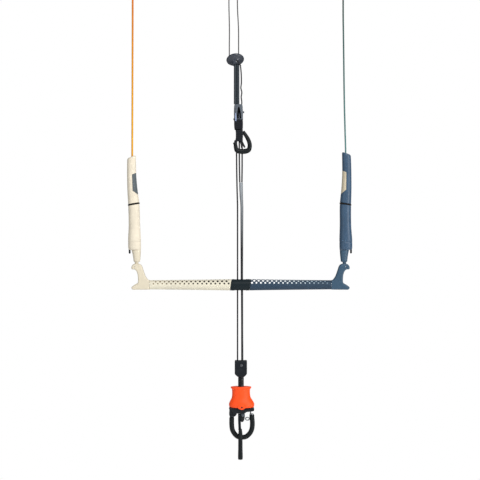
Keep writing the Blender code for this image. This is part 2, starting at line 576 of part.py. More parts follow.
# ------------------------------------------------------------------- swivel
hx0, hx1 = 3.6, 33.1
house = [(hx0 + 0.8, HOUSE_TOP), (hx1 - 0.8, HOUSE_TOP), (hx1, HOUSE_TOP - 3), (hx1, -959.6), (25.9, -967.0), (11.3, -967.0),
         (hx0, -959.6), (hx0, HOUSE_TOP - 3)]
seat = cutter("cut_swivel", turned([(4.5, -975), (4.5, -957.4), (7.6, -957.2), (7.6, -947.6), (2.0, -947.2)], (SPIN_X, 0, 0), n=18))
screw_hole = cutter("cut_screw", turned([(3.7, -20), (3.7, -7.6), (2.4, -7.6), (2.4, 6.0)], (19.9, 0, -938.4), axis="Y", n=12))
for nm, y0, y1 in (("swivel_front", -10.2, -GAP / 2), ("swivel_back", GAP / 2, 10.2)):
    ob = finish(nm, prism(house, y0, y1), (BLACK, 0.45, 0.0))
    bevel(ob, 2.0, 1)
    boolean(ob, seat)
    boolean(ob, screw_hole)
finish("swivel_screw", turned([(2.9, -10.0), (3.3, -9.6), (3.3, -7.9), (2.0, -7.9), (2.0, 5.4)], (19.9, 0, -938.4), axis="Y", n=16),
       (STEEL, 0.3, 1.0))
# shaft: head in the housing, neck, and the stem with the sleeve's stop collar
finish("swivel_stem", turned([(1.0, -948.6), (6.4, -949.4), (7.2, -950.4), (7.2, -956.6), (4.1, -956.9), (4.1, -967.3),
                              (STEM_R - 0.5, -967.4), (STEM_R, -968.2), (STEM_R, -996.3), (10.4, -996.4), (10.4, -998.6), (STEM_R, -998.7),
                              (STEM_R, -1027.6)][::-1], (SPIN_X, 0, 0), n=20), (BLACK, 0.35, 0.0), smooth=30)

# --------------------------------------------------------- quick release
def sleeve_ring(hx, hy, z, cx=SLEEVE_X, n=28):
    return [(cx + hx * math.cos(2 * math.pi * i / n), hy * math.sin(2 * math.pi * i / n), z) for i in range(n)]


def sleeve_round(r, z, n=28):
    return [(SPIN_X + r * math.cos(2 * math.pi * i / n), r * math.sin(2 * math.pi * i / n), z) for i in range(n)]


outer = [sleeve_ring(23.4, 16.8, -990.2), sleeve_ring(24.6, 17.6, -991.0), sleeve_ring(24.4, 17.4, -993.4),
         sleeve_ring(21.8, 15.8, -996.6), sleeve_ring(21.5, 15.6, -1006, 18.9), sleeve_ring(22.6, 16.2, -1016, 19.3),
         sleeve_ring(27.2, 18.4, -1023.6, 19.9), sleeve_ring(30.2, 20.0, -1031, 20.2), sleeve_ring(30.0, 20.0, -1036, 20.2),
         sleeve_ring(28.8, 19.4, -1039.6, 20.2)]
inner = [sleeve_ring(27.2, 17.8, -1039.6, 20.2), sleeve_ring(27.2, 17.8, -1028.0, 20.2), sleeve_round(STEM_R + 0.5, -1027.0),
         sleeve_round(STEM_R + 0.5, -1024.2), sleeve_round(12.6, -1024.0), sleeve_round(12.6, -996.0), sleeve_round(STEM_R + 0.4, -995.8),
         sleeve_round(STEM_R + 0.4, -990.2)]
sleeve = finish("release_sleeve", loft(outer + inner, looped=True), (ORANGE, 0.4, 0.0), smooth=30)
tongue = prism([(9.6, -1034.0), (31.0, -1034.0), (29.6, -1039.4), (25.2, -1042.6), (20.3, -1043.8), (15.4, -1042.6),
                (11.0, -1039.4)], -20.3, -17.2)
boolean(sleeve, cutter("add_tongue", tongue), "UNION")
# closing spring between the stem's collar and the sleeve's floor
turns, wire, sr, z0, z1 = 3, 0.9, 9.3, -999.8, -1022.9
n = turns * 12
pts = [(SPIN_X + sr * math.cos(2 * math.pi * i / 12), sr * math.sin(2 * math.pi * i / 12), z0 + (z1 - z0) * i / n) for i in range(n + 1)]
cord_tube("release_spring", pts, wire, (STEEL, 0.3, 1.0), 1)

# base: plug inside the sleeve, plate, and two cheeks for the loop's hinge
BASE_Y = 13.0
base = finish("release_base", prism([(-8.6, -1040.2), (47.0, -1040.2), (49.8, -1042.0), (50.2, -1045.6), (47.6, -1048.2),
                                     (31.0, -1050.2), (27.0, -1053.4), (-8.8, -1053.6), (-9.2, -1046)], -BASE_Y, BASE_Y),
              (BLACK, 0.45, 0.0))
bevel(base, 1.6, 1)
plug = cutter("add_plug", loft([sleeve_ring(25.6, 16.2, -1028.6, 20.2, 24), sleeve_ring(26.6, 17.2, -1030, 20.2, 24),
                                sleeve_ring(26.6, 17.2, -1038.4, 20.2, 24), sleeve_ring(24.0, 12.2, -1042.0, 20.2, 24)]))
cheeks = cutter("add_cheeks", prism([(-9.0, -1052.0), (8.8, -1052.0), (8.2, -1056.6), (4.2, -1060.8), (-1.4, -1063.0), (-7.4, -1062.4),
                                     (-9.4, -1058)], -8.6, 8.6))
boolean(base, plug, "UNION")
boolean(base, cheeks, "UNION")
boolean(base, cutter("cut_lug_slot", prism([(-20.0, -1043.1), (3.4, -1043.1), (6.4, -1046.3), (6.1, -1075.0), (-20.0, -1075.0)], -3.4, 3.4)))
boolean(base, cutter("cut_hinge", turned([(2.5, -21), (2.5, 21)], (HINGE_X, 0, HINGE_Z), axis="Y", n=14)))
boolean(base, cutter("cut_latch", turned([(2.8, -1060.0), (2.8, -1043.6)], (41.6, 0, 0), n=14)))
finish("loop_hinge_pin", turned([(1.8, -12.6), (2.2, -12.2), (2.2, 12.2), (1.8, 12.6)], (HINGE_X, 0, HINGE_Z), axis="Y", n=16),
       (STEEL, 0.3, 1.0))
cam = finish("release_cam", prism([(17.4, -1054.0), (26.2, -1054.0), (27.2, -1062.0), (25.2, -1070.6), (22.0, -1074.0),
                                   (18.6, -1073.4), (17.6, -1066.0)], -5.0, 5.0), (BLACK, 0.3, 0.0))
bevel(cam, 1.8)
ring = [(34.2 + 4.6 * math.cos(2 * math.pi * i / 16), 0, -1067.4 + 3.4 * math.sin(2 * math.pi * i / 16)) for i in range(16)]
kr = sweep(ring, 0.9, n=6, looped=True)
finish("keeper_ring", kr, (STEEL, 0.25, 1.0))

# ----------------------------------------------------------- harness loop
loop_px = [(-3.6, 0, -1064.8), (-3.6, 0, -1080.0), (-2.2, 0, -1092.6), (2.6, 0, -1102.4), (9.8, 0, -1109.5), (17.4, 0, -1111.6),
           (24.4, 0, -1111.6), (32.0, 0, -1109.5), (40.2, 0, -1101.6), (44.6, 0, -1092.0), (46.0, 0, -1079.0), (45.2, 0, -1067.0),
           (44.5, 0, -1058.4)]
lp = smooth_path(loop_px, 2)
# a short level run at the bottom, where the hook bears
k = min(range(len(lp)), key=lambda i: lp[i].z)
lp[k:k + 1] = [Vector((19.0, 0, -1111.6)), Vector((22.8, 0, -1111.6))]
loop = finish("chicken_loop", sweep(lp, LOOP_R, n=12, phase=0.5), (BLACK, 0.45, 0.0), smooth=30)
lug = cutter("add_lug", prism([(HINGE_X - 3.0, -1044.6), (HINGE_X + 3.0, -1044.6), (HINGE_X + 4.6, -1047.4), (2.0, -1058), (0.6, -1068.5), (-7.6, -1068.5),
                               (-8.2, -1058), (HINGE_X - 4.6, -1047.4)], -2.9, 2.9))
boolean(loop, lug, "UNION")
boolean(loop, cutter("cut_lug_hole", turned([(2.5, -21), (2.5, 21)], (HINGE_X, 0, HINGE_Z), axis="Y", n=14)))
finish("loop_latch_pin", loft([circle((x, 0, z), r, 16) for x, r, z in (
    (44.2, 5.1, -1057.4), (44.2, 5.1, -1055.8), (43.9, 4.2, -1055.0), (41.6, 1.5, -1054.7), (41.6, 1.5, -1047.0),
    (41.6, 0.9, -1046.4))]), (STEEL, 0.3, 1.0))

# ------------------------------------------------------------------ finger
finish("finger_strap", prism([(12.8, -1054.3), (17.4, -1054.3), (17.6, -1060), (17.4, -1093.6), (12.9, -1093.6), (12.6, -1060)],
                             FINGER_Y - 1.5, FINGER_Y + 1.5), (BLACK, 0.6, 0.0))
rod = [(2.6, -1094.0), (4.4, -1096.5), (5.6, -1104.0), (5.75, -1112.0), (5.75, -1154.0), (5.2, -1159.6), (3.6, -1162.6), (1.4, -1163.8)]
finish("finger_rod", turned(rod[::-1], (17.2, -12.0, 0), n=18), (BLACK, 0.45, 0.0), smooth=30)
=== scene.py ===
"""Kitesurf control bar: the looks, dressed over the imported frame.

Metres in Blender; the numbers below are millimetres in the frame of the CAD
part, +Z up, +X to the right seen from the front, -Y to the front.
"""

import math

import bmesh
import bpy
from mathutils import Matrix, Vector, noise


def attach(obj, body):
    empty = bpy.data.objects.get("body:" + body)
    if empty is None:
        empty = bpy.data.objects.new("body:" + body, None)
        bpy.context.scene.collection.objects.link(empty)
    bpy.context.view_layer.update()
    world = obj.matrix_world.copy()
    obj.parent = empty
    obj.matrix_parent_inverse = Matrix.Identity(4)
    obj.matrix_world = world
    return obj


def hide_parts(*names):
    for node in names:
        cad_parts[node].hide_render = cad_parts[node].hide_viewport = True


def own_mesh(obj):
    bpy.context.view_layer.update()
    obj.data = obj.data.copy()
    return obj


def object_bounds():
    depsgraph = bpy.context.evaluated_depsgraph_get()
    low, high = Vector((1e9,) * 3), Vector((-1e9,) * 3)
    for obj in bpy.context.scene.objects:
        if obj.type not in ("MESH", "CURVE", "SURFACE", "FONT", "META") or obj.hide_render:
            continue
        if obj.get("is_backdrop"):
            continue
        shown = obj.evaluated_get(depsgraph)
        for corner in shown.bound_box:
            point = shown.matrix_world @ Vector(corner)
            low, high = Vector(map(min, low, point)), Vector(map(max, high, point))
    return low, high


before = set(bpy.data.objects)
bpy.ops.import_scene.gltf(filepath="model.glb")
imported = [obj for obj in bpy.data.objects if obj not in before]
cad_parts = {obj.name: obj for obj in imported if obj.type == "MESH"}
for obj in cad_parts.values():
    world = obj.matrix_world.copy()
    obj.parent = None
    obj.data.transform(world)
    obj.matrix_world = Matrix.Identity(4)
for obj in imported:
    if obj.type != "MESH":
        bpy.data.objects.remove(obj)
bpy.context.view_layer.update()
MM = 0.001
scene = bpy.context.scene
root = scene.collection

# ------------------------------------------------------------ camera, light
cam_data = bpy.data.cameras.new("camera")
cam_data.lens = 100.0
cam_data.sensor_width = 36.0
cam_data.sensor_fit = "HORIZONTAL"
cam = bpy.data.objects.new("camera", cam_data)
cam.location = (0.0163, -3.2, -0.6384)
cam.rotation_euler = (math.radians(90), 0, 0)
cam_data.clip_start, cam_data.clip_end = 0.05, 60.0
root.objects.link(cam)
scene.camera = cam
scene.view_settings.view_transform = "Standard"

world = bpy.data.worlds.new("studio")
scene.world = world
world.use_nodes = True
wn = world.node_tree
bg = wn.nodes["Background"]
bg.inputs["Strength"].default_value = 1.0
bg.inputs["Color"].default_value = (1.0, 1.0, 1.0, 1.0)
# the white of the studio is seen at full strength and lights the part softly
soft = wn.nodes.new("ShaderNodeBackground")
soft.inputs["Color"].default_value = (0.97, 0.98, 1.0, 1.0)
soft.inputs["Strength"].default_value = 0.22
mixw = wn.nodes.new("ShaderNodeMixShader")
path = wn.nodes.new("ShaderNodeLightPath")
wn.links.new(path.outputs["Is Camera Ray"], mixw.inputs[0])
wn.links.new(soft.outputs[0], mixw.inputs[1])
wn.links.new(bg.outputs[0], mixw.inputs[2])
wn.links.new(mixw.outputs[0], wn.nodes["World Output"].inputs["Surface"])


def area(name, loc, aim, size, power, tint=(1, 1, 1)):
    ld = bpy.data.lights.new(name, "AREA")
    ld.shape = "RECTANGLE"
    ld.size, ld.size_y = size
    ld.energy = power
    ld.color = tint
    ob = bpy.data.objects.new(name, ld)
    ob.location = loc
    ob.rotation_euler = (Vector(aim) - Vector(loc)).to_track_quat("-Z", "Y").to_euler()
    root.objects.link(ob)


area("key", (0.9, -2.3, 1.5), (0.0, 0, -0.6), (0.9, 1.2), 68.0, (1.0, 0.985, 0.96))
area("strip", (2.3, -1.9, -0.5), (0.1, 0, -0.6), (0.25, 2.2), 46.0)
area("fill", (-1.9, -2.2, 0.0), (0.0, 0, -0.6), (0.8, 1.8), 14.0, (0.95, 0.98, 1.0))
area("rim", (0.4, 1.8, 0.9), (0.0, 0, -0.6), (1.6, 1.0), 10.0)

# ------------------------------------------------------------------- floor
FLOOR_Z = -1.30


def shader(name):
    m = bpy.data.materials.new(name)
    m.use_nodes = True
    nt = m.node_tree
    return m, nt, nt.nodes["Principled BSDF"]


fm, _, fb = shader("floor")
fb.inputs["Base Color"].default_value = (0.93, 0.93, 0.93, 1)
fb.inputs["Roughness"].default_value = 0.9
fb.inputs["Emission Color"].default_value = (1, 1, 1, 1)
fb.inputs["Emission Strength"].default_value = 0.22
fme = bpy.data.meshes.new("floor")
fme.from_pydata([(-3.2, -3.4, FLOOR_Z), (3.2, -3.4, FLOOR_Z), (3.2, 0.45, FLOOR_Z), (-3.2, 0.45, FLOOR_Z)], [], [(0, 1, 2, 3)])
fme.materials.append(fm)
floor = bpy.data.objects.new("floor", fme)
root.objects.link(floor)
floor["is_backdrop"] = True

# --------------------------------------------------------------- materials
def link(nt, a, b):
    nt.links.new(a, b)


def ramp(nt, fac, stops):
    r = nt.nodes.new("ShaderNodeValToRGB")
    while len(r.color_ramp.elements) < len(stops):
        r.color_ramp.elements.new(0.5)
    for e, (p, c) in zip(r.color_ramp.elements, stops):
        e.position = p
        e.color = (*c, 1) if len(c) == 3 else c
    link(nt, fac, r.inputs["Fac"])
    return r.outputs["Color"]


def noise_node(nt, vec, scale, detail=3.0, rough=0.55):
    n = nt.nodes.new("ShaderNodeTexNoise")
    n.inputs["Scale"].default_value = scale
    n.inputs["Detail"].default_value = detail
    n.inputs["Roughness"].default_value = rough
    link(nt, vec, n.inputs["Vector"])
    return n.outputs["Fac"]


def math_node(nt, op, a, b=None):
    n = nt.nodes.new("ShaderNodeMath")
    n.operation = op
    for k, v in enumerate((a, b)):
        if v is None:
            continue
        if isinstance(v, (int, float)):
            n.inputs[k].default_value = v
        else:
            link(nt, v, n.inputs[k])
    return n.outputs[0]


def mix(nt, fac, a, b, mode="MIX"):
    n = nt.nodes.new("ShaderNodeMix")
    n.data_type = "RGBA"
    n.blend_type = mode
    for sock, v in ((n.inputs[0], fac), (n.inputs[6], a), (n.inputs[7], b)):
        if isinstance(v, (int, float)):
            sock.default_value = v
        elif isinstance(v, tuple):
            sock.default_value = (*v, 1) if len(v) == 3 else v
        else:
            link(nt, v, sock)
    return n.outputs[2]


def shade(c, k):
    return tuple(max(0.0, min(1.0, v * k)) for v in c)


def srgb(r, g, b, gain=1.0):
    out = []
    for v in (r, g, b):
        v /= 255.0
        v = v / 12.92 if v <= 0.04045 else ((v + 0.055) / 1.055) ** 2.4
        out.append(min(1.0, v * gain))
    return tuple(out)


def coords(nt, kind="Object"):
    t = nt.nodes.new("ShaderNodeTexCoord")
    return t.outputs[kind]


def bump(nt, b, height, strength, dist):
    n = nt.nodes.new("ShaderNodeBump")
    n.inputs["Strength"].default_value = strength
    n.inputs["Distance"].default_value = dist
    link(nt, height, n.inputs["Height"])
    link(nt, n.outputs["Normal"], b.inputs["Normal"])


def moulded(name, col, rough=0.42, grain=1700.0, depth=0.00003, mottle=0.06, wear=0.18, metal=0.0, coat=0.0, spec=0.5):
    """Moulded plastic: fine spark-eroded grain, faint flow mottling, edges rubbed lighter."""
    m, nt, b = shader(name)
    v = coords(nt)
    big = noise_node(nt, v, 38.0, 3.0)
    fine = noise_node(nt, v, grain, 2.0, 0.6)
    c = ramp(nt, big, [(0.3, shade(col, 1 - mottle)), (0.7, shade(col, 1 + mottle))])
    geo = nt.nodes.new("ShaderNodeNewGeometry")
    edge = ramp(nt, geo.outputs["Pointiness"], [(0.51, (0, 0, 0)), (0.60, (1, 1, 1))])
    rub = math_node(nt, "MULTIPLY", edge, math_node(nt, "MULTIPLY", noise_node(nt, v, 260.0, 4.0, 0.7), wear * 1.8))
    c = mix(nt, rub, c, shade(tuple(x + 0.02 for x in col), 1.4))
    link(nt, c, b.inputs["Base Color"])
    r = nt.nodes.new("ShaderNodeMapRange")
    r.inputs["To Min"].default_value = max(0.05, rough - 0.08)
    r.inputs["To Max"].default_value = min(1.0, rough + 0.10)
    link(nt, noise_node(nt, v, 120.0, 4.0, 0.65), r.inputs["Value"])
    link(nt, r.outputs[0], b.inputs["Roughness"])
    b.inputs["Metallic"].default_value = metal
    b.inputs["Specular IOR Level"].default_value = spec
    if coat:
        b.inputs["Coat Weight"].default_value = coat
        b.inputs["Coat Roughness"].default_value = 0.25
    bump(nt, b, fine, 0.35, depth)
    return m


def foam(name, col, dark=0.86, cell=900.0, rough=0.62):
    """Moulded EVA foam: closed-cell skin, soft sheen, grubby in patches."""
    m, nt, b = shader(name)
    v = coords(nt)
    big = noise_node(nt, v, 26.0, 4.0, 0.6)
    c = ramp(nt, big, [(0.30, shade(col, dark + 0.05)), (0.5, col), (0.72, shade(col, 1.05))])
    vor = nt.nodes.new("ShaderNodeTexVoronoi")
    vor.feature = "F1"
    vor.inputs["Scale"].default_value = cell
    link(nt, v, vor.inputs["Vector"])
    cells = ramp(nt, vor.outputs["Distance"], [(0.0, (0.55, 0.55, 0.55)), (0.55, (1, 1, 1))])
    c = mix(nt, 0.10, c, cells, "MULTIPLY")
    link(nt, c, b.inputs["Base Color"])
    r = nt.nodes.new("ShaderNodeMapRange")
    r.inputs["To Min"].default_value = rough
    r.inputs["To Max"].default_value = min(1.0, rough + 0.20)
    link(nt, big, r.inputs["Value"])
    link(nt, r.outputs[0], b.inputs["Roughness"])
    b.inputs["Sheen Weight"].default_value = 0.05
    b.inputs["Sheen Roughness"].default_value = 0.5
    h = math_node(nt, "ADD", math_node(nt, "MULTIPLY", vor.outputs["Distance"], 0.6), math_node(nt, "MULTIPLY", noise_node(nt, v, 2600.0, 2.0), 0.4))
    bump(nt, b, h, 0.30, 0.00012)
    return m


def braid(name, col, col2, strands=8.0, pitch=0.0016, depth=0.00018, rough=0.62, fleck=None, zgrad=None):
    """Braided rope: two crossing sets of plaits, from the tube's own coordinates (u round, v metres along)."""
    m, nt, b = shader(name)
    uv = nt.nodes.new("ShaderNodeUVMap")
    uv.uv_map = "UVMap"
    sep = nt.nodes.new("ShaderNodeSeparateXYZ")
    link(nt, uv.outputs[0], sep.inputs[0])
    a = math_node(nt, "MULTIPLY", sep.outputs[0], strands)
    l = math_node(nt, "DIVIDE", sep.outputs[1], pitch)
    tau = 2 * math.pi
    s1 = math_node(nt, "SINE", math_node(nt, "MULTIPLY", math_node(nt, "ADD", a, l), tau))
    s2 = math_node(nt, "SINE", math_node(nt, "MULTIPLY", math_node(nt, "SUBTRACT", a, l), tau))
    top = math_node(nt, "MAXIMUM", s1, s2)
    h = math_node(nt, "ADD", math_node(nt, "MULTIPLY", top, 0.5), 0.5)
    fine = noise_node(nt, coords(nt), 3200.0, 2.0)
    c = ramp(nt, h, [(0.10, shade(col2, 0.62)), (0.55, col2), (0.95, col)])
    c = mix(nt, 0.16, c, ramp(nt, fine, [(0.3, (0.5, 0.5, 0.5)), (0.7, (1, 1, 1))]), "MULTIPLY")
    if fleck:
        pick = math_node(nt, "SINE", math_node(nt, "MULTIPLY", math_node(nt, "ADD", math_node(nt, "MULTIPLY", a, 0.5), math_node(nt, "MULTIPLY", l, 0.5)), tau))
        c = mix(nt, math_node(nt, "MULTIPLY", math_node(nt, "GREATER_THAN", pick, 0.92), 0.55), c, fleck)
    if zgrad:
        z0, z1, tint = zgrad
        sz = nt.nodes.new("ShaderNodeSeparateXYZ")
        link(nt, coords(nt), sz.inputs[0])
        mr = nt.nodes.new("ShaderNodeMapRange")
        mr.inputs["From Min"].default_value, mr.inputs["From Max"].default_value = z0, z1
        link(nt, sz.outputs[2], mr.inputs["Value"])
        c = mix(nt, mr.outputs[0], c, tint, "MULTIPLY")
    link(nt, c, b.inputs["Base Color"])
    b.inputs["Roughness"].default_value = rough
    b.inputs["Specular IOR Level"].default_value = 0.25
    b.inputs["Sheen Weight"].default_value = 0.04
    b.inputs["Sheen Roughness"].default_value = 0.4
    bump(nt, b, math_node(nt, "ADD", h, math_node(nt, "MULTIPLY", fine, 0.25)), 0.8, depth)
    return m


def rubber(name, col, rough=0.38, rib=None, spec=0.25, top=None):
    """Extruded polyurethane or rubber sheath: smooth with a drawn grain and light scuffs."""
    m, nt, b = shader(name)
    v = coords(nt)
    scuff = noise_node(nt, v, 160.0, 5.0, 0.7)
    c = ramp(nt, scuff, [(0.35, shade(col, 0.85)), (0.62, col), (0.78, shade(tuple(x + 0.012 for x in col), 1.5))])
    if top:
        # painted highlight: a lighter grey down the middle of the tube as seen, strongest towards the upper end and
        # fading downwards
        highlight_facing = nt.nodes.new("ShaderNodeLayerWeight")
        highlight_facing.inputs["Blend"].default_value = 0.5
        sz = nt.nodes.new("ShaderNodeSeparateXYZ")
        link(nt, v, sz.inputs[0])
        mr = nt.nodes.new("ShaderNodeMapRange")
        mr.inputs["From Min"].default_value, mr.inputs["From Max"].default_value = top[1], top[2]
        link(nt, sz.outputs[2], mr.inputs["Value"])
        mid = ramp(nt, highlight_facing.outputs["Facing"], [(0.10, (1, 1, 1)), (0.42, (0, 0, 0))])
        c = mix(nt, math_node(nt, "MULTIPLY", mid, mr.outputs[0]), c, top[0])
    link(nt, c, b.inputs["Base Color"])
    r = nt.nodes.new("ShaderNodeMapRange")
    r.inputs["To Min"].default_value = rough - 0.08
    r.inputs["To Max"].default_value = rough + 0.14
    link(nt, scuff, r.inputs["Value"])
    link(nt, r.outputs[0], b.inputs["Roughness"])
    b.inputs["Specular IOR Level"].default_value = spec
    mp = nt.nodes.new("ShaderNodeMapping")
    mp.inputs["Scale"].default_value = (1.0, 1.0, 0.04)
    link(nt, v, mp.inputs["Vector"])
    bump(nt, b, noise_node(nt, mp.outputs[0], 1400.0, 3.0), 0.25, 0.00006)
    return m


def metal(name, col, rough=0.28, brushed="Z"):
    m, nt, b = shader(name)
    v = coords(nt)
    mp = nt.nodes.new("ShaderNodeMapping")
    mp.inputs["Scale"].default_value = {"Z": (1, 1, 0.03), "X": (0.03, 1, 1), "Y": (1, 0.03, 1)}[brushed]
    link(nt, v, mp.inputs["Vector"])
    g = noise_node(nt, mp.outputs[0], 2600.0, 3.0, 0.7)
    c = ramp(nt, g, [(0.3, shade(col, 0.86)), (0.7, shade(col, 1.08))])
    link(nt, c, b.inputs["Base Color"])
    b.inputs["Metallic"].default_value = 1.0
    r = nt.nodes.new("ShaderNodeMapRange")
    r.inputs["To Min"].default_value = rough - 0.08
    r.inputs["To Max"].default_value = rough + 0.12
    link(nt, g, r.inputs["Value"])
    link(nt, r.outputs[0], b.inputs["Roughness"])
    bump(nt, b, g, 0.15, 0.00002)
    return m


def webbing(name, col, axis_u=0, axis_v=2, pitch=0.0011):
    """Flat woven tape: ribs across, warp lines along."""
    m, nt, b = shader(name)
    sep = nt.nodes.new("ShaderNodeSeparateXYZ")
    link(nt, coords(nt), sep.inputs[0])
    tau = 2 * math.pi
    u = math_node(nt, "SINE", math_node(nt, "MULTIPLY", sep.outputs[axis_u], tau / pitch))
    w = math_node(nt, "SINE", math_node(nt, "MULTIPLY", sep.outputs[axis_v], tau / (pitch * 1.3)))
    h = math_node(nt, "ADD", math_node(nt, "MULTIPLY", math_node(nt, "MULTIPLY", u, w), 0.5), 0.5)
    fine = noise_node(nt, coords(nt), 2400.0, 2.0)
    c = ramp(nt, h, [(0.0, shade(col, 0.6)), (0.6, col), (1.0, shade(tuple(x + 0.01 for x in col), 1.5))])
    c = mix(nt, 0.2, c, ramp(nt, fine, [(0.3, (0.5, 0.5, 0.5)), (0.7, (1, 1, 1))]), "MULTIPLY")
    link(nt, c, b.inputs["Base Color"])
    b.inputs["Roughness"].default_value = 0.75
    b.inputs["Specular IOR Level"].default_value = 0.12
    bump(nt, b, h, 0.35, 0.00006)
    return m


# how much the studio light lifts a front-facing surface above its albedo
LIFT = 0.80
CREAM = srgb(229, 219, 199, 0.90)
CREAM_END = srgb(226, 216, 193, 0.84)
CREAM_GRIP = srgb(222, 216, 196, 0.92)
BLUE = srgb(56, 88, 118, 0.66)
BLUE_END = srgb(54, 88, 114, 0.66)
BLUE_GRIP = srgb(34, 66, 92, 0.60)
M = {}
M["cream_foam"] = foam("cream_foam", CREAM)
M["cream_grip"] = foam("cream_grip", CREAM_GRIP, cell=1300.0)
M["cream_plastic"] = moulded("cream_plastic", CREAM_END, 0.48, mottle=0.03, wear=0.10)
M["blue_foam"] = foam("blue_foam", BLUE, dark=0.80, rough=0.34)
M["blue_grip"] = foam("blue_grip", BLUE_GRIP, dark=0.80, cell=1300.0)
M["blue_plastic"] = moulded("blue_plastic", BLUE_END, 0.42, mottle=0.05, wear=0.14)
M["slate_foam"] = foam("slate_foam", srgb(88, 98, 103, 0.8), cell=1500.0)
M["tan_foam"] = foam("tan_foam", srgb(208, 196, 170, 0.8), cell=1500.0)
M["slate"] = moulded("slate", srgb(58, 65, 78, 0.6), 0.32, mottle=0.10)
# pale lilac used only for the painted highlight on the cleat's left flank
M["lilac"] = moulded("lilac", srgb(150, 166, 200, 0.8), 0.34, mottle=0.06)
M["cleat_grey"] = moulded("cleat_grey", srgb(90, 98, 108, 0.75), 0.34, mottle=0.10)
# near-black used only for the plate that paints shade into the cleat's window
M["cleat_black"] = moulded("cleat_black", srgb(16, 18, 22, 0.4), 0.7, spec=0.05, wear=0.0)
M["cleat_dark"] = moulded("cleat_dark", srgb(32, 37, 48, 0.32), 0.45, spec=0.2)
M["black_plastic"] = moulded("black_plastic", srgb(28, 37, 48, 0.34), 0.42, spec=0.25)
M["black_gloss"] = moulded("black_gloss", srgb(24, 28, 34, 0.4), 0.26, coat=0.05, spec=0.3)
M["navy"] = moulded("navy", srgb(30, 47, 54, 0.42), 0.5, mottle=0.05, spec=0.16, wear=0.05)
M["orange"] = moulded("orange", srgb(250, 78, 18, 1.0), 0.5, mottle=0.03, wear=0.01, depth=0.00004, spec=0.3)
# the grey given as top paints a highlight down the middle of the sheath's upper part
M["sheath"] = rubber("sheath", srgb(30, 33, 38, 0.5), 0.30, spec=0.4, top=(srgb(150, 156, 162, 0.8), -0.66, -0.52))
M["loop_rubber"] = rubber("loop_rubber", srgb(26, 34, 38, 0.42), 0.42, spec=0.2)
M["elastic"] = rubber("elastic", srgb(34, 30, 27, 0.6), 0.6, spec=0.2)
M["steel"] = metal("steel", (0.62, 0.63, 0.65), 0.26)
M["ring_steel"] = metal("ring_steel", (0.27, 0.28, 0.30), 0.36)
M["dark_steel"] = metal("dark_steel", (0.16, 0.165, 0.18), 0.34)
M["steel_x"] = metal("steel_x", (0.60, 0.61, 0.63), 0.26, "X")
M["grey_line"] = braid("grey_line", srgb(92, 92, 92, 0.7), srgb(62, 62, 62, 0.7), 6.0, 0.0012, 0.0001)
M["strand_line"] = braid("strand_line", srgb(54, 57, 62, 0.5), srgb(32, 34, 38, 0.5), 6.0, 0.0013, 0.0001)
M["slate_line"] = braid("slate_line", srgb(60, 70, 78, 0.62), srgb(48, 57, 64, 0.62), 8.0, 0.0032, 0.00003)
M["black_line"] = braid("black_line", srgb(36, 38, 43, 0.6), srgb(26, 28, 32, 0.6), 6.0, 0.0016, 0.00006)
M["cord_black"] = braid("cord_black", srgb(40, 42, 46, 0.6), srgb(22, 24, 28, 0.6), 6.0, 0.0018, 0.0001)
M["orange_line"] = braid("orange_line", srgb(230, 170, 8, 1.0), srgb(216, 146, 4, 1.0), 8.0, 0.0024, 0.00012,
                         fleck=srgb(214, 120, 42, 0.8), zgrad=(-0.36, -0.06, srgb(236, 184, 255)))
M["teal_line"] = braid("teal_line", srgb(100, 150, 148, 0.8), srgb(68, 108, 106, 0.8), 8.0, 0.0021, 0.00012,
                       zgrad=(-0.40, -0.06, srgb(160, 150, 140)))
M["webbing"] = webbing("webbing", srgb(28, 38, 48, 0.32))

# ------------------------------------------------------------ mesh helpers
def add(name, me, mat, body, nodes=(), smooth=32.0, sub=0):
    if isinstance(me, bmesh.types.BMesh):
        bm = me
        bmesh.ops.remove_doubles(bm, verts=bm.verts, dist=1e-7)
        bmesh.ops.recalc_face_normals(bm, faces=bm.faces)
        if bm.calc_volume(signed=True) < 0:
            bmesh.ops.reverse_faces(bm, faces=bm.faces)
        me = bpy.data.meshes.new(name)
        bm.to_mesh(me)
        bm.free()
    me.shade_smooth()
    if smooth:
        me.set_sharp_from_angle(angle=math.radians(smooth))
    ob = bpy.data.objects.new(name, me)
    root.objects.link(ob)
    for mt in (mat if isinstance(mat, (list, tuple)) else [mat]):
        me.materials.append(M[mt] if isinstance(mt, str) else mt)
    if sub:
        sm = ob.modifiers.new("sub", "SUBSURF")
        sm.levels = sm.render_levels = sub
    if body:
        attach(ob, body)
    if nodes:
        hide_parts(*([nodes] if isinstance(nodes, str) else nodes))
    return ob


def loft(rings, capped=True, looped=False):
    bm = bmesh.new()
    vs = [[bm.verts.new(Vector(p) * MM) for p in r] for r in rings]
    n = len(rings[0])
    pairs = list(zip(vs, vs[1:]))
    if looped:
        pairs.append((vs[-1], vs[0]))
    for a, b in pairs:
        for i in range(n):
            j = (i + 1) % n
            bm.faces.new((a[i], a[j], b[j], b[i]))
    if capped and not looped:
        bm.faces.new(list(reversed(vs[0])))
        bm.faces.new(vs[-1])
    return bm


def circle(c, r, n=24, axis="Z", phase=0.0, ry=None):
    ry = r if ry is None else ry
    out = []
    for i in range(n):
        t = 2 * math.pi * (i + phase) / n
        u, v = r * math.cos(t), ry * math.sin(t)
        if axis == "Z":
            out.append((c[0] + u, c[1] + v, c[2]))
        elif axis == "X":
            out.append((c[0], c[1] + u, c[2] + v))
        else:
            out.append((c[0] + v, c[1], c[2] + u))
    return out


def turned(profile, c, axis="Z", n=48, looped=False):
    k = {"X": 0, "Y": 1, "Z": 2}[axis]
    rings = []
    for r, p in profile:
        cc = list(c)
        cc[k] = p
        rings.append(circle(cc, r, n, axis))
    return loft(rings, looped=looped)


def prism(points, y0, y1):
    return loft([[(x, y0, z) for x, z in points], [(x, y1, z) for x, z in points]])


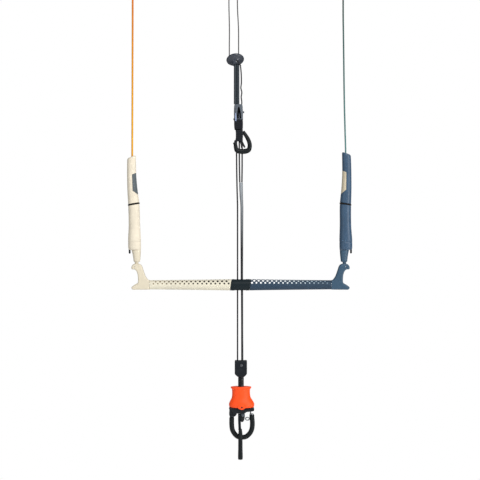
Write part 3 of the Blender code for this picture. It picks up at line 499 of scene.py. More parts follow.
def smooth_path(pts, per=4):
    p = [Vector(q) for q in pts]
    p = [2 * p[0] - p[1]] + p + [2 * p[-1] - p[-2]]
    out = []
    for i in range(1, len(p) - 2):
        for k in range(per):
            t = k / per
            a, b, c, d = p[i - 1], p[i], p[i + 1], p[i + 2]
            out.append(0.5 * ((2 * b) + (c - a) * t + (2 * a - 5 * b + 4 * c - d) * t * t
                              + (3 * b - a - 3 * c + d) * t ** 3))
    out.append(p[-2])
    return out


def spaced(pts, step):
    p = [Vector(q) for q in pts]
    cum = [0.0]
    for a, b in zip(p, p[1:]):
        cum.append(cum[-1] + (b - a).length)
    n = max(1, round(cum[-1] / step))
    out = []
    j = 0
    for i in range(n + 1):
        s = cum[-1] * i / n
        while j < len(cum) - 2 and cum[j + 1] < s:
            j += 1
        f = (s - cum[j]) / max(cum[j + 1] - cum[j], 1e-9)
        out.append(p[j].lerp(p[j + 1], min(max(f, 0.0), 1.0)))
    return out


def rope(name, pts, r, mat, body, nodes=(), n=20, closed=False, plait=0.0, strands=8, pitch=2.4, ends=True, taper=None):
    """Tube along pts, mm, with u round and v metres along in its UV map, and real relief where plait > 0."""
    pts = [Vector(p) for p in pts]
    m = len(pts)
    up = Vector((0.0, 1.0, 0.0))
    t0 = (pts[1] - pts[0]).normalized()
    if abs(t0.dot(up)) > 0.95:
        up = Vector((1.0, 0.0, 0.0))
    side = t0.cross(up).normalized()
    rings, vv, s = [], [], 0.0
    prev_t = t0
    for i, p in enumerate(pts):
        if closed:
            t = pts[(i + 1) % m] - pts[i - 1]
        else:
            t = pts[min(i + 1, m - 1)] - pts[max(i - 1, 0)]
        t.normalize()
        q = prev_t.rotation_difference(t)
        side = (q @ side)
        side = (side - t * side.dot(t)).normalized()
        prev_t = t
        bi = t.cross(side)
        if i:
            s += (pts[i] - pts[i - 1]).length
        rr = r[i] if hasattr(r, "__len__") else r
        k = 1.0
        if ends and not closed:
            e = min(s, 1e9)
        ring = []
        for j in range(n):
            a = 2 * math.pi * j / n
            h = 0.0
            if plait:
                u = j / n * strands
                h = max(math.sin(2 * math.pi * (u + s / pitch)), math.sin(2 * math.pi * (u - s / pitch))) * plait
            ring.append(p + (side * math.cos(a) + bi * math.sin(a)) * (rr * k + h))
        rings.append(ring)
        vv.append(s * MM)
    bm = bmesh.new()
    uvl = bm.loops.layers.uv.new("UVMap")
    vs = [[bm.verts.new(q * MM) for q in ring] for ring in rings]
    idx = list(range(m - 1)) + ([m - 1] if closed else [])
    if closed:
        # close the frame's twist by matching the nearest vertex of the first ring
        best = min(range(n), key=lambda o: (rings[-1][0] - rings[0][o]).length)
    for i in idx:
        nxt = (i + 1) % m
        off = best if closed and nxt == 0 else 0
        v1 = vv[nxt] if nxt else s * MM + (pts[0] - pts[-1]).length * MM
        for j in range(n):
            j2 = (j + 1) % n
            f = bm.faces.new((vs[i][j], vs[i][j2], vs[nxt][(j2 + off) % n], vs[nxt][(j + off) % n]))
            for lp, uvq in zip(f.loops, ((j / n, vv[i]), ((j + 1) / n, vv[i]), ((j + 1) / n, v1), (j / n, v1))):
                lp[uvl].uv = uvq
    if not closed:
        for ring, order in ((vs[0], -1), (vs[-1], 1)):
            f = bm.faces.new(list(reversed(ring)) if order < 0 else ring)
            for lp in f.loops:
                lp[uvl].uv = (0.5, vv[0] if order < 0 else vv[-1])
    me = bpy.data.meshes.new(name)
    bmesh.ops.recalc_face_normals(bm, faces=bm.faces)
    if bm.calc_volume(signed=True) < 0:
        bmesh.ops.reverse_faces(bm, faces=bm.faces)
    bm.to_mesh(me)
    bm.free()
    return add(name, me, mat, body, nodes, smooth=60)


def cutter(bm):
    bmesh.ops.remove_doubles(bm, verts=bm.verts, dist=1e-6)
    bmesh.ops.dissolve_degenerate(bm, edges=bm.edges, dist=1e-6)
    bmesh.ops.recalc_face_normals(bm, faces=bm.faces)
    if bm.calc_volume(signed=True) < 0:
        bmesh.ops.reverse_faces(bm, faces=bm.faces)
    me = bpy.data.meshes.new("cutter")
    bm.to_mesh(me)
    bm.free()
    ob = bpy.data.objects.new("cutter", me)
    root.objects.link(ob)
    return ob


def open_edges(ob):
    b = bmesh.new()
    b.from_mesh(ob.data)
    n = sum(1 for e in b.edges if not e.is_manifold)
    b.free()
    return n


def carve(ob, cut, op="DIFFERENCE"):
    """Boolean applied at once; cut goes away."""
    closed = open_edges(ob) == 0 and open_edges(cut) == 0
    md = ob.modifiers.new("cut", "BOOLEAN")
    md.operation, md.object = op, cut
    md.solver = "MANIFOLD" if closed else "EXACT"
    bake(ob)
    bpy.data.objects.remove(cut, do_unlink=True)
    return ob


def bevel(ob, width, seg=3, angle=35.0):
    md = ob.modifiers.new("bevel", "BEVEL")
    md.width, md.segments, md.limit_method = width * MM, seg, "ANGLE"
    md.angle_limit = math.radians(angle)
    md.harden_normals = False
    bake(ob)
    return ob


def bake(ob, smooth=32.0):
    bpy.context.view_layer.update()
    dg = bpy.context.evaluated_depsgraph_get()
    me = bpy.data.meshes.new_from_object(ob.evaluated_get(dg))
    ob.modifiers.clear()
    old = ob.data
    ob.data = me
    bpy.data.meshes.remove(old)
    me.shade_smooth()
    me.set_sharp_from_angle(angle=math.radians(smooth))
    return ob


def made(name, bm, mat, smooth=32.0):
    """A piece still to be carved: no body yet."""
    return add(name, bm, mat, None, smooth=smooth)


def settle(ob, body, nodes=()):
    wn_ = ob.modifiers.new("even", "WEIGHTED_NORMAL")
    wn_.keep_sharp = True
    bpy.context.view_layer.update()
    me = bpy.data.meshes.new_from_object(ob.evaluated_get(bpy.context.evaluated_depsgraph_get()))
    ob.modifiers.clear()
    old, ob.data = ob.data, me
    bpy.data.meshes.remove(old)
    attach(ob, body)
    if nodes:
        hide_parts(*([nodes] if isinstance(nodes, str) else nodes))
    return ob


# ------------------------------------------------------------------- cords
# Routes as in part.py, millimetres.
FRONT_LOW = ((-9.3, -199.4), (12.9, -196.4))
KNOT_Z = (-46.0, -34.0)
BAR_X, BAR_Z = 17.5, -745.9
NECK_DX, NECK_DZ = 249.2, 50.3


def knot_wraps(x, z0, z1, ro, rs):
    """Closed strand wound as a stopper knot about the line at x."""
    pts = []
    n = 132
    for i in range(n):
        t = 2 * math.pi * i / n
        rad = ro - rs + 0.55 * rs * math.cos(5 * t)
        pts.append((x + rad * math.cos(3 * t), rad * math.sin(3 * t), (z0 + z1) / 2 + (abs(z1 - z0) / 2 - rs) * math.sin(5 * t + 0.4)))
    return pts


for side, tx, low in (("left", -10.2, FRONT_LOW[0]), ("right", 10.2, FRONT_LOW[1])):
    route = smooth_path([(low[0], 0, low[1]), (low[0], 0, low[1] + 30), (low[0] * 0.98, 0, -130), (tx, 0, -80), (tx, 0, KNOT_Z[0] - 0.3)], 4)
    pts = spaced(route, 0.9)
    line = rope("front_line_" + side + "_cord", pts, 1.3, "grey_line", "kite_lines", "front_line_" + side, n=16)
    # end loop and its knot
    w, top = 6.0, -1.3
    drop = smooth_path([(tx + 0.95, 0, KNOT_Z[0] + 5), (tx + 2.1, 0, KNOT_Z[1] + 1), (tx + w, 0, -14), (tx + w * 0.72, 0, -5.5), (tx, 0, top),
                        (tx - w * 0.72, 0, -5.5), (tx - w, 0, -14), (tx - 2.1, 0, KNOT_Z[1] + 1), (tx - 0.95, 0, KNOT_Z[0] + 5)], 10)
    loop = rope("front_loop_" + side + "_rope", spaced(drop, 0.9), 1.15, "grey_line", "kite_lines", "front_loop_" + side, n=16)
    knot = rope("front_knot_" + side, knot_wraps(tx, KNOT_Z[0], KNOT_Z[1], 3.55, 1.2), 1.15, "grey_line", "kite_lines", (), n=12, closed=True)
    core = add("front_knot_core_" + side, turned([(0.6, KNOT_Z[0] + 0.2), (1.9, KNOT_Z[0] + 1.6), (1.9, KNOT_Z[1] - 1.6), (0.6, KNOT_Z[1] - 0.2)],
               (tx, 0, 0), n=20), "grey_line", "kite_lines", ())

for side, sgn, lean, add_len, top_x, mid_x, r, mat in (("left", -1, 2.35, 0.0, -241.3, -241.9, 2.1, "orange_line"),
                                                       ("right", 1, 0.7, 8.0, 263.9, 266.6, 1.75, "teal_line")):
    mirror = Matrix.Diagonal((1, 1, 1, 1)) if sgn < 0 else Matrix.Diagonal((-1, 1, 1, 1))
    fr = (Matrix.Translation(Vector((BAR_X + sgn * NECK_DX, 0, BAR_Z + NECK_DZ)))
          @ Matrix.Rotation(math.radians(lean * sgn), 4, "Y") @ mirror)
    up = lambda h: h + add_len * max(0.0, min(1.0, (h - 141.0) / 100.0))
    start = fr @ Vector((0, 0, up(236.0) + 4.6 + 0.4))
    mouth = fr @ Vector((0, 0, up(254.0) + 4.6))
    route = smooth_path([tuple(start), tuple(mouth), (mouth[0] + (mid_x - mouth[0]) * 0.5, 0, -370), (mid_x, 0, -302),
                         (top_x + (mid_x - top_x) * 0.4, 0, -180), (top_x, 0, -100), (top_x, 0, KNOT_Z[0] - 0.3)], 8)
    pts = spaced(route, 0.8)
    line = rope("leader_line_" + side + "_cord", pts, r * 1.04, mat, "float_" + side, "leader_line_" + side,
                n=24, plait=0.10, strands=4, pitch=4.8)
    knot = rope("leader_knot_" + side + "_rope", knot_wraps(top_x, KNOT_Z[0], KNOT_Z[1] - 0.4, 4.55, 1.55), 1.5, mat, "float_" + side,
                "leader_knot_" + side, n=14, closed=True)
    core = add("leader_knot_core_" + side, turned([(0.9, KNOT_Z[0] + 0.2), (2.7, KNOT_Z[0] + 1.6), (2.7, KNOT_Z[1] - 1.2), (2.0, KNOT_Z[1]),
               (1.9, KNOT_Z[1] + 3.6), (1.1, KNOT_Z[1] + 4.8)], (top_x, 0, 0), n=24), mat, "float_" + side)

# --------------------------------------------------------------- trim ring
RING_C = (4.8, 0.0, -205.4)


def round_profile(pts, per=4):
    p = [Vector((a, b, 0)) for a, b in pts]
    m = len(p)
    out = []
    for i in range(m):
        a, b, c, d = p[i - 1], p[i], p[(i + 1) % m], p[(i + 2) % m]
        for k in range(per):
            t = k / per
            q = 0.5 * ((2 * b) + (c - a) * t + (2 * a - 5 * b + 4 * c - d) * t * t + (3 * b - a - 3 * c + d) * t ** 3)
            out.append((q.x, q.y))
    return out


ring_rot = (Matrix.Rotation(math.radians(-7.0), 4, "Y") @ Matrix.Rotation(math.radians(-32.0), 4, "X"))
prof = [(3.5, 4.6), (4.6, 5.3), (8.0, 5.5), (14.5, 4.6), (18.0, 3.9), (20.4, 2.3), (21.3, 0.0), (20.4, -2.4),
        (18.0, -4.0), (14.6, -5.4), (11.4, -8.2), (9.4, -11.6), (8.2, -14.6), (6.6, -16.0), (4.8, -15.6), (3.5, -13.8)]
bm = turned(round_profile(prof, 4), (0, 0, 0), n=80, looped=True)
bm.transform(Matrix.Translation(Vector(RING_C) * MM) @ ring_rot)
disc = made("trim_ring_body", bm, "slate", smooth=50)
carve(disc, cutter(turned([(2.0, -30.0), (2.0, -8.5)], (8.4, 0, -208.6), axis="Y", n=32)))
bake(disc, 50)
settle(disc, "kite_lines", "trim_ring")
rope("safety_lead_rope", spaced(smooth_path([(8.5, -8.8, -208.2), (8.9, -12.6, -209.2), (11.4, -14.6, -212.4), (14.6, -11.6, -216.6), (16.8, -7.6, -219.6),
                                             (17.4, -6.2, -221.2)], 6), 0.6), 1.5, "cord_black", "kite_lines", (), n=14)

# trim line: standing strand, running strand, and the tail that comes out of the cleat
TRIM_Y, TA, TB = -5.5, 4.8, 11.5
top, cleat_top = -216.5, -313.1
for nm, x, r, nodes in (("trim_strand_rope", TA, 3.3, "trim_strand"), ("trim_run_rope", TB, 3.4, ())):
    ob = rope(nm, spaced([(x, TRIM_Y, top + 1.2), (x, TRIM_Y, cleat_top)], 0.7), r, "slate_line", "kite_lines", nodes,
              n=24, plait=0.02, strands=4, pitch=6.4)
    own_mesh(ob)
rope("trim_tail_rope", spaced([(TB, TRIM_Y, -258), (TB, TRIM_Y, -377.6)], 0.8), 2.8, "slate_line", "trim_handle", "trim_tail",
     n=24, plait=0.12, strands=4, pitch=6.4)
su = spaced(smooth_path([(17.4, -6.0, -219.5), (19.2, -6.0, -240), (19.6, -6.0, -262), (18.4, -6.0, -274), (20.6, -6.0, -285),
                         (19.2, -6.0, -296), (20.4, -6.0, -306), (20.6, -6.0, cleat_top)], 8), 0.8)
ob = rope("safety_upper_rope", su, 1.5, "cord_black", "kite_lines", "safety_upper", n=14)
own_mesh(ob)

# ------------------------------------------------------------------- cleat
def smooth_outline(pts, per=4):
    return round_profile(pts, per)


_reach = {}


def reach_of(pts, pin=None):
    """Inward normal of every outline point, and the radius of the largest disc touching the outline there."""
    key = (pin, tuple((round(x, 4), round(z, 4)) for x, z in pts))
    if key in _reach:
        return _reach[key]
    m = len(pts)
    area2 = sum(pts[i][0] * pts[(i + 1) % m][1] - pts[(i + 1) % m][0] * pts[i][1] for i in range(m))
    s = 1.0 if area2 > 0 else -1.0
    out = []
    for i in range(m):
        ax, ay = pts[i - 1]
        bx, by = pts[(i + 1) % m]
        tx, ty = bx - ax, by - ay
        l = math.hypot(tx, ty) or 1.0
        nx, ny = -s * ty / l, s * tx / l
        far = 1e9
        for j in range(m):
            ex, ey = pts[j][0] - pts[i][0], pts[j][1] - pts[i][1]
            dn = ex * nx + ey * ny
            if j != i and dn > 1e-4 and not (pin is not None and abs(pts[j][0] - pin) < 0.01):
                far = min(far, (ex * ex + ey * ey) / (2 * dn))
        out.append((nx, ny, far))
    _reach[key] = out
    return out


def offset_outline(pts, d, pin=None):
    """Moves a closed outline inwards by d, less where its corners are tighter than that."""
    if d <= 1e-9:
        return [tuple(p) for p in pts]
    return [(x + nx * min(d, 0.86 * far), z + nz * min(d, 0.86 * far)) for (x, z), (nx, nz, far) in zip(pts, reach_of(pts, pin))]


def pebble(pts, y0, y1, r, seg=5, pin=None):
    """Outline in X, Z between y0 and y1 with rounded rims of radius r; a straight edge at X = pin stays square."""
    def level(d):
        q = offset_outline(pts, d, pin)
        if pin is not None:
            zs = [z for x, z in pts if abs(x - pin) < 0.01]
            zc, half = (max(zs) + min(zs)) / 2, (max(zs) - min(zs)) / 2
            q = [(pin, zc + (p[1] - zc) * (1 - d / half)) if abs(p[0] - pin) < 0.01 else v for v, p in zip(q, pts)]
        return q
    at_ = [math.pi / 2 * k / seg for k in range(seg + 1)]
    front = [[(x, y0 + r * (1 - math.sin(t)), z) for x, z in level(r * (1 - math.cos(t)))] for t in at_[::-1]]
    back = [[(x, y1 - r * (1 - math.sin(t)), z) for x, z in level(r * (1 - math.cos(t)))] for t in at_]
    return loft(front + back)


cx0, cx1 = 1.7, 23.3
outline = [(cx0 + 0.8, -350.0), (8.0, -350.1), (16.0, -350.1), (cx1 - 0.4, -350.0), (cx1 + 0.1, -343), (cx1 + 0.2, -335), (cx1 - 0.2, -326),
           (cx1 - 0.9, -317.5), (cx1 - 2.4, -313.6), (16.0, -313.4), (9.0, -313.4), (cx0 + 2.4, -313.6), (cx0 + 0.7, -317.5), (cx0 + 0.1, -326),
           (cx0, -335), (cx0 + 0.2, -343)]
window = [(8.9, -347.6), (13.8, -347.9), (18.9, -347.6), (18.8, -341), (18.0, -334), (16.7, -327), (15.2, -321.5), (13.4, -319.2),
          (11.8, -321.5), (10.5, -327), (9.6, -334), (8.9, -341)]
front = made("cleat_front_shell", pebble(smooth_outline(outline), -13.0, -0.15, 2.6), "cleat_grey")
carve(front, cutter(pebble(smooth_outline(window), -19.0, -8.95, 1.0, 3)))
carve(front, cutter(turned([(3.3, -400), (3.3, -300)], (TB, TRIM_Y, 0), n=40)))
# two thumb ribs down the left flank
for x in (3.6, 5.4):
    carve(front, cutter(pebble(smooth_outline([(x, -345.0), (x + 0.7, -345.4), (x + 0.7, -330.0), (x + 0.1, -322.0), (x - 0.3, -330.0)], 3), -14.0, -12.45, 0.2, 2)))
settle(front, "trimmer", "cleat_front")
# a near-black plate over the window's floor: painted shade that darkens the recess
add("cleat_window_shade_plate", pebble(smooth_outline([(x + (13.8 - x) * 0.03, z + (-334 - z) * 0.02) for x, z in window]), -9.4, -8.88, 0.1, 1), "cleat_black", "trimmer", ())
add("cleat_back_shell", pebble(smooth_outline(outline), 0.15, 9.0, 2.6), "cleat_grey", "trimmer", "cleat_back")
tongue = [(12.6, -347.0), (14.1, -347.1), (15.7, -347.0), (15.5, -341), (15.0, -336), (14.5, -333.0), (14.1, -332.0), (13.6, -333.0), (13.0, -336), (12.7, -341)]
add("cleat_cam_jaw", pebble(smooth_outline(tongue), -11.4, -8.3, 1.1, 4), "slate", "trimmer", "cleat_cam")
bootp = [(cx0 + 2.4, -374.2), (9.0, -374.4), (15.0, -374.4), (cx1 - 2.2, -374.2), (cx1 - 0.4, -371), (cx1 + 0.1, -366), (cx1 + 0.1, -358),
         (cx1 - 0.2, -352), (cx1 - 1.0, -350.5), (16.0, -350.4), (9.0, -350.4), (cx0 + 1.2, -350.5), (cx0 + 0.5, -352), (cx0 + 0.4, -358),
         (cx0 + 0.6, -366), (cx0 + 1.2, -371)]
boot = made("cleat_boot_block", pebble(smooth_outline(bootp), -12.7, 8.7, 2.4), "cleat_dark")
carve(boot, cutter(turned([(3.3, -400), (3.3, -340)], (TB, TRIM_Y, 0), n=40)))
for z in (-356.0, -361.0, -366.0):
    carve(boot, cutter(pebble(smooth_outline([(5.0, z), (12.5, z - 0.5), (20.0, z), (20.0, z + 0.9), (12.5, z + 0.5), (5.0, z + 0.9)], 3), -14.0, -12.2, 0.15, 2)))
settle(boot, "trimmer", "cleat_boot")
add("cleat_web", pebble(smooth_outline([(cx0 + 3.0, -353.4), (cx1 - 3.4, -353.4), (cx1 - 3.4, -347.0), (cx0 + 3.0, -347.0)], 3), 0.8, 6.6, 0.4, 2), "cleat_dark", "trimmer", ())
add("cleat_pin_head", turned([(1.2, cx1 - 4.0), (1.2, cx1 + 0.2), (2.0, cx1 + 0.5), (2.5, cx1 + 1.1), (2.5, cx1 + 2.3), (2.1, cx1 + 2.9), (1.2, cx1 + 3.2)],
                             (0, -4.0, -332.0), axis="X", n=32), "cleat_grey", "trimmer", "cleat_pin")

# a pale lilac pad on the left flank: painted highlight where light catches the cleat's side
add("cleat_flank_highlight_pad", pebble(smooth_outline([(4.6, -353.6), (6.2, -353.8), (7.6, -353.0), (7.8, -346.0), (7.2, -339.0), (6.4, -334.4), (5.2, -334.8), (4.6, -341.0), (4.4, -347.0)], 4), -13.7, -12.4, 0.6, 3),
    "lilac", "trimmer", ())

# the small roller standing out at the left of the cleat's foot
add("cleat_bump", turned([(0.8, 0.4), (2.3, 0.9), (2.9, 2.0), (2.9, 3.6), (2.2, 4.6), (0.8, 5.0)][::-1], (0, -4.0, -349.0), axis="X", n=28),
    "cleat_dark", "trimmer")

# ------------------------------------------------------------- trim handle
HY = -9.6
stopper = [(6.2, -375.6), (13.0, -375.4), (20.6, -375.5), (23.6, -379.0), (23.6, -386), (23.4, -392), (22.4, -398), (19.6, -402.2), (12.0, -402.4),
           (7.4, -402.3), (5.4, -399), (6.2, -394), (6.7, -388), (6.2, -382)]
st = made("handle_stopper_body", pebble(smooth_outline(stopper), HY - 4.2, HY + 4.6, 1.9, 5), "black_plastic")
for z in (-383.0, -387.0, -391.0):
    carve(st, cutter(pebble(smooth_outline([(4.0, z), (12.5, z - 0.7), (23.0, z), (23.0, z + 1.0), (12.5, z + 0.3), (4.0, z + 1.0)], 3), HY - 6.0, HY - 3.7, 0.15, 2)))
settle(st, "trim_handle", "handle_stopper")
hl = [(24.6, HY, -378.6), (26.6, HY, -383.0), (30.6, HY, -388.8), (35.6, HY, -397.6), (39.0, HY, -407.0), (39.4, HY, -416.0),
      (36.2, HY, -423.4), (28.0, HY, -426.2), (18.0, HY, -426.2), (9.6, HY, -424.4), (6.4, HY, -417.0), (5.2, HY, -409.0),
      (3.2, HY, -404.9)]
hr = [3.6, 4.2, 4.5, 4.9, 5.1, 5.3, 5.8, 6.2, 6.2, 5.8, 4.9, 4.5, 4.2]


def tube(pts, radii, n=32, normal=(0, 1, 0), ribs=0.0, rib_pitch=2.2):
    """Oval section along a path in the plane normal to `normal`."""
    nn = Vector(normal)
    rings, s = [], 0.0
    m = len(pts)
    for i, p in enumerate(pts):
        t = (pts[min(i + 1, m - 1)] - pts[max(i - 1, 0)]).normalized()
        side = t.cross(nn).normalized()
        if i:
            s += (pts[i] - pts[i - 1]).length
        ra, rb = radii[i]
        k = ribs * math.sin(2 * math.pi * s / rib_pitch)
        rings.append([tuple(p + side * ((ra + k) * math.cos(2 * math.pi * j / n)) + nn * ((rb + k) * math.sin(2 * math.pi * j / n))) for j in range(n)])
    return rings


def lerp_list(vals, per):
    out = []
    for a, b in zip(vals, vals[1:]):
        for k in range(per):
            u = k / per
            u = u * u * (3 - 2 * u)
            out.append(tuple(x + (y - x) * u for x, y in zip(a, b)))
    out.append(tuple(vals[-1]))
    return out


def rounded_tube(rings, tip=0.6):
    """Closes a tube's ends with a small rounding."""
    def mid(r):
        return sum((Vector(p) for p in r), Vector()) / len(r)
    a, b = mid(rings[0]), mid(rings[1])
    d = (a - b).normalized()
    pre = [[tuple(a + (Vector(p) - a) * k + d * e) for p in rings[0]] for k, e in ((0.72, tip), (0.90, tip * 0.75))]
    a, b = mid(rings[-1]), mid(rings[-2])
    d = (a - b).normalized()
    post = [[tuple(a + (Vector(p) - a) * k + d * e) for p in rings[-1]] for k, e in ((0.90, tip * 0.75), (0.72, tip))]
    return loft(pre + rings + post)


hp = smooth_path(hl, 8)
handle_rings = tube(hp, lerp_list([(a, min(a, 5.2)) for a in hr], 8), n=30, ribs=0.10, rib_pitch=3.0)
add("handle_loop_grip", rounded_tube(handle_rings), "loop_rubber", "trim_handle", "handle_loop")
rope("handle_end_rope", spaced(smooth_path([(19.4, HY, -398.0), (21.2, HY, -403.6), (25.0, HY, -411.6), (28.0, HY, -417.0)], 6), 0.6), 2.15,
     "cord_black", "trim_handle", "handle_end", n=16)

rope("handle_tail_rope", spaced(smooth_path([(15.6, HY, -399.0), (18.2, HY, -404.6), (19.8, HY, -411.0), (20.2, HY, -417.6)], 6), 0.6), 1.9,
     "cord_black", "trim_handle", (), n=16)
add("handle_bead", turned([(0.8, HY - 5.2), (2.6, HY - 4.6), (3.4, HY - 3.0), (3.4, HY + 3.0), (2.6, HY + 4.6), (0.8, HY + 5.2)], (5.6, 0, -402.6), axis="Y", n=28),
    "cleat_dark", "trim_handle", ())

# --------------------------------------------------- lines below the cleat
for nm, pts in (("left", [(14.6, 0, -374.7), (14.6, 0, -420), (14.9, 0, -460), (15.7, 0, -500.2)]),
                ("right", [(21.2, 0, -374.7), (21.4, 0, -420), (21.4, 0, -460), (20.9, 0, -500.2)])):
    pts[0] = (pts[0][0], 0, -372.0)
    rope("depower_" + nm + "_rope", spaced(smooth_path(pts, 8), 0.9), 1.78, "strand_line", "trimmer", "depower_strand_" + nm, n=16)
spec = [((18.6, -500.5), (3.6, 2.4)), ((18.6, -501.6), (4.3, 2.7)), ((18.7, -508), (4.4, 2.8)), ((19.3, -530), (4.0, 3.0)), ((20.4, -550), (3.5, 3.2)),
        ((20.8, -560), (3.4, 3.3)), ((20.7, -640), (3.2, 3.3)), ((20.7, -722), (2.9, 3.2)), ((21.2, -782), (2.6, 3.0)), ((21.4, -840), (2.5, 3.0)), ((21.7, -926.8), (2.7, 3.0))]
rings = []
z = -500.5
while z > -926.8:
    for (a, ra), (b, rb) in zip(spec, spec[1:]):
        if b[1] <= z <= a[1]:
            t = (a[1] - z) / (a[1] - b[1])
            t = t * t * (3 - 2 * t)
            rings.append([(a[0] + (b[0] - a[0]) * t + (ra[0] + (rb[0] - ra[0]) * t) * math.cos(2 * math.pi * j / 32),
                           (ra[1] + (rb[1] - ra[1]) * t) * math.sin(2 * math.pi * j / 32), z) for j in range(32)])
            break
    z -= 0.8 if z > -503 else (4.0 if z > -562 else 12.0)
rings.append([(21.7 + 2.7 * math.cos(2 * math.pi * j / 32), 3.0 * math.sin(2 * math.pi * j / 32), -926.8) for j in range(32)])
add("depower_sheath", loft(rings), "sheath", "trimmer", "depower_tube", smooth=40)
rope("safety_rope", spaced(smooth_path([(7.9, 0, -372.0), (8.0, 0, -430), (8.9, 0, -500), (10.1, 0, -545), (10.4, 0, -562), (10.4, 0, -640),
                                        (10.4, 0, -780), (10.4, 0, -926.8)], 10), 1.2), 1.75, "black_line", "trimmer", "safety_line", n=16)

# ----------------------------------------------------------------- the bar
HUB_HALF, SLANT, TILT_X = 23.4, 0.135, 16.65


def hub_ring(d, r, n=72):
    return [(BAR_X + d + (z - BAR_Z) * SLANT, y, z) for _, y, z in circle((0, 0, BAR_Z), r, n, "X", phase=0.5)]


hub_prof = [(-23.4, 12.6), (-23.2, 13.2), (-22.6, 13.5), (-15.4, 13.8), (15.4, 13.8), (22.6, 13.5), (23.2, 13.2), (23.4, 12.6)]
for nm, y0, y1 in (("hub_front", -40, -0.12), ("hub_back", 0.12, 40)):
    hb = made(nm + "_shell", loft([hub_ring(d, r) for d, r in hub_prof]), "navy", smooth=28)
    hb.data.transform(Matrix.Identity(4))
    carve(hb, cutter(turned([(10.2, -8.7), (10.2, 8.7)], (TILT_X, 0, BAR_Z), axis="Y", n=56)))
    w0, wk = 8.9, 0.38
    carve(hb, cutter(prism([(TILT_X - w0, BAR_Z), (TILT_X - w0 - wk * 18, BAR_Z - 18), (TILT_X + w0 + wk * 18, BAR_Z - 18), (TILT_X + w0, BAR_Z),
                            (TILT_X + w0 + wk * 18, BAR_Z + 18), (TILT_X - w0 - wk * 18, BAR_Z + 18)], -4.3, 4.3)))
    for sx in (-1, 1):
        carve(hb, cutter(turned(sorted([(9.2, BAR_X + sx * 40), (9.2, BAR_X + sx * 13.0)], key=lambda q: q[1]), (0, 0, BAR_Z), axis="X", n=40)))
    # two shallow grip grooves near each end
    for d in (-19.6, 19.6):
        groove = loft([[(BAR_X + d + o + (z - BAR_Z) * SLANT, y, z) for _, y, z in circle((0, 0, BAR_Z), r, 72, "X", phase=0.5)]
                       for o, r in ((-0.45, 15.0), (0.45, 15.0), (0.2, 13.3), (-0.2, 13.3))], looped=True)
        carve(hb, cutter(groove))
    half = bmesh.new()
    bmesh.ops.create_cube(half, size=1.0)
    lo, hi = (BAR_X - 60, y0, BAR_Z - 30), (BAR_X + 60, y1, BAR_Z + 30)
    for v in half.verts:
        for k in range(3):
            v.co[k] = ((lo[k] + hi[k]) / 2 + v.co[k] * (hi[k] - lo[k])) * MM
    carve(hb, cutter(half), "INTERSECT")
    bake(hb, 28)
    settle(hb, "bar", nm)

# grips, with their rows of perforations and a coloured plug in each
def grip_r(d):
    t = max(0.0, min(1.0, (d - HUB_HALF) / (217.6 - HUB_HALF)))
    return 13.5 + (11.0 - 13.5) * (t ** 0.8)


def grip_dots(name, stops, x0, x1):
    m, nt, b = shader(name)
    sep = nt.nodes.new("ShaderNodeSeparateXYZ")
    v = coords(nt)
    link(nt, v, sep.inputs[0])
    mr = nt.nodes.new("ShaderNodeMapRange")
    mr.inputs["From Min"].default_value, mr.inputs["From Max"].default_value = x0 * MM, x1 * MM
    link(nt, sep.outputs[0], mr.inputs["Value"])
    c = ramp(nt, mr.outputs[0], stops)
    c = mix(nt, 0.25, c, ramp(nt, noise_node(nt, v, 900.0, 2.0), [(0.3, (0.6, 0.6, 0.6)), (0.7, (1, 1, 1))]), "MULTIPLY")
    link(nt, c, b.inputs["Base Color"])
    b.inputs["Roughness"].default_value = 0.6
    bump(nt, b, noise_node(nt, v, 2400.0, 2.0), 0.3, 0.00005)
    return m


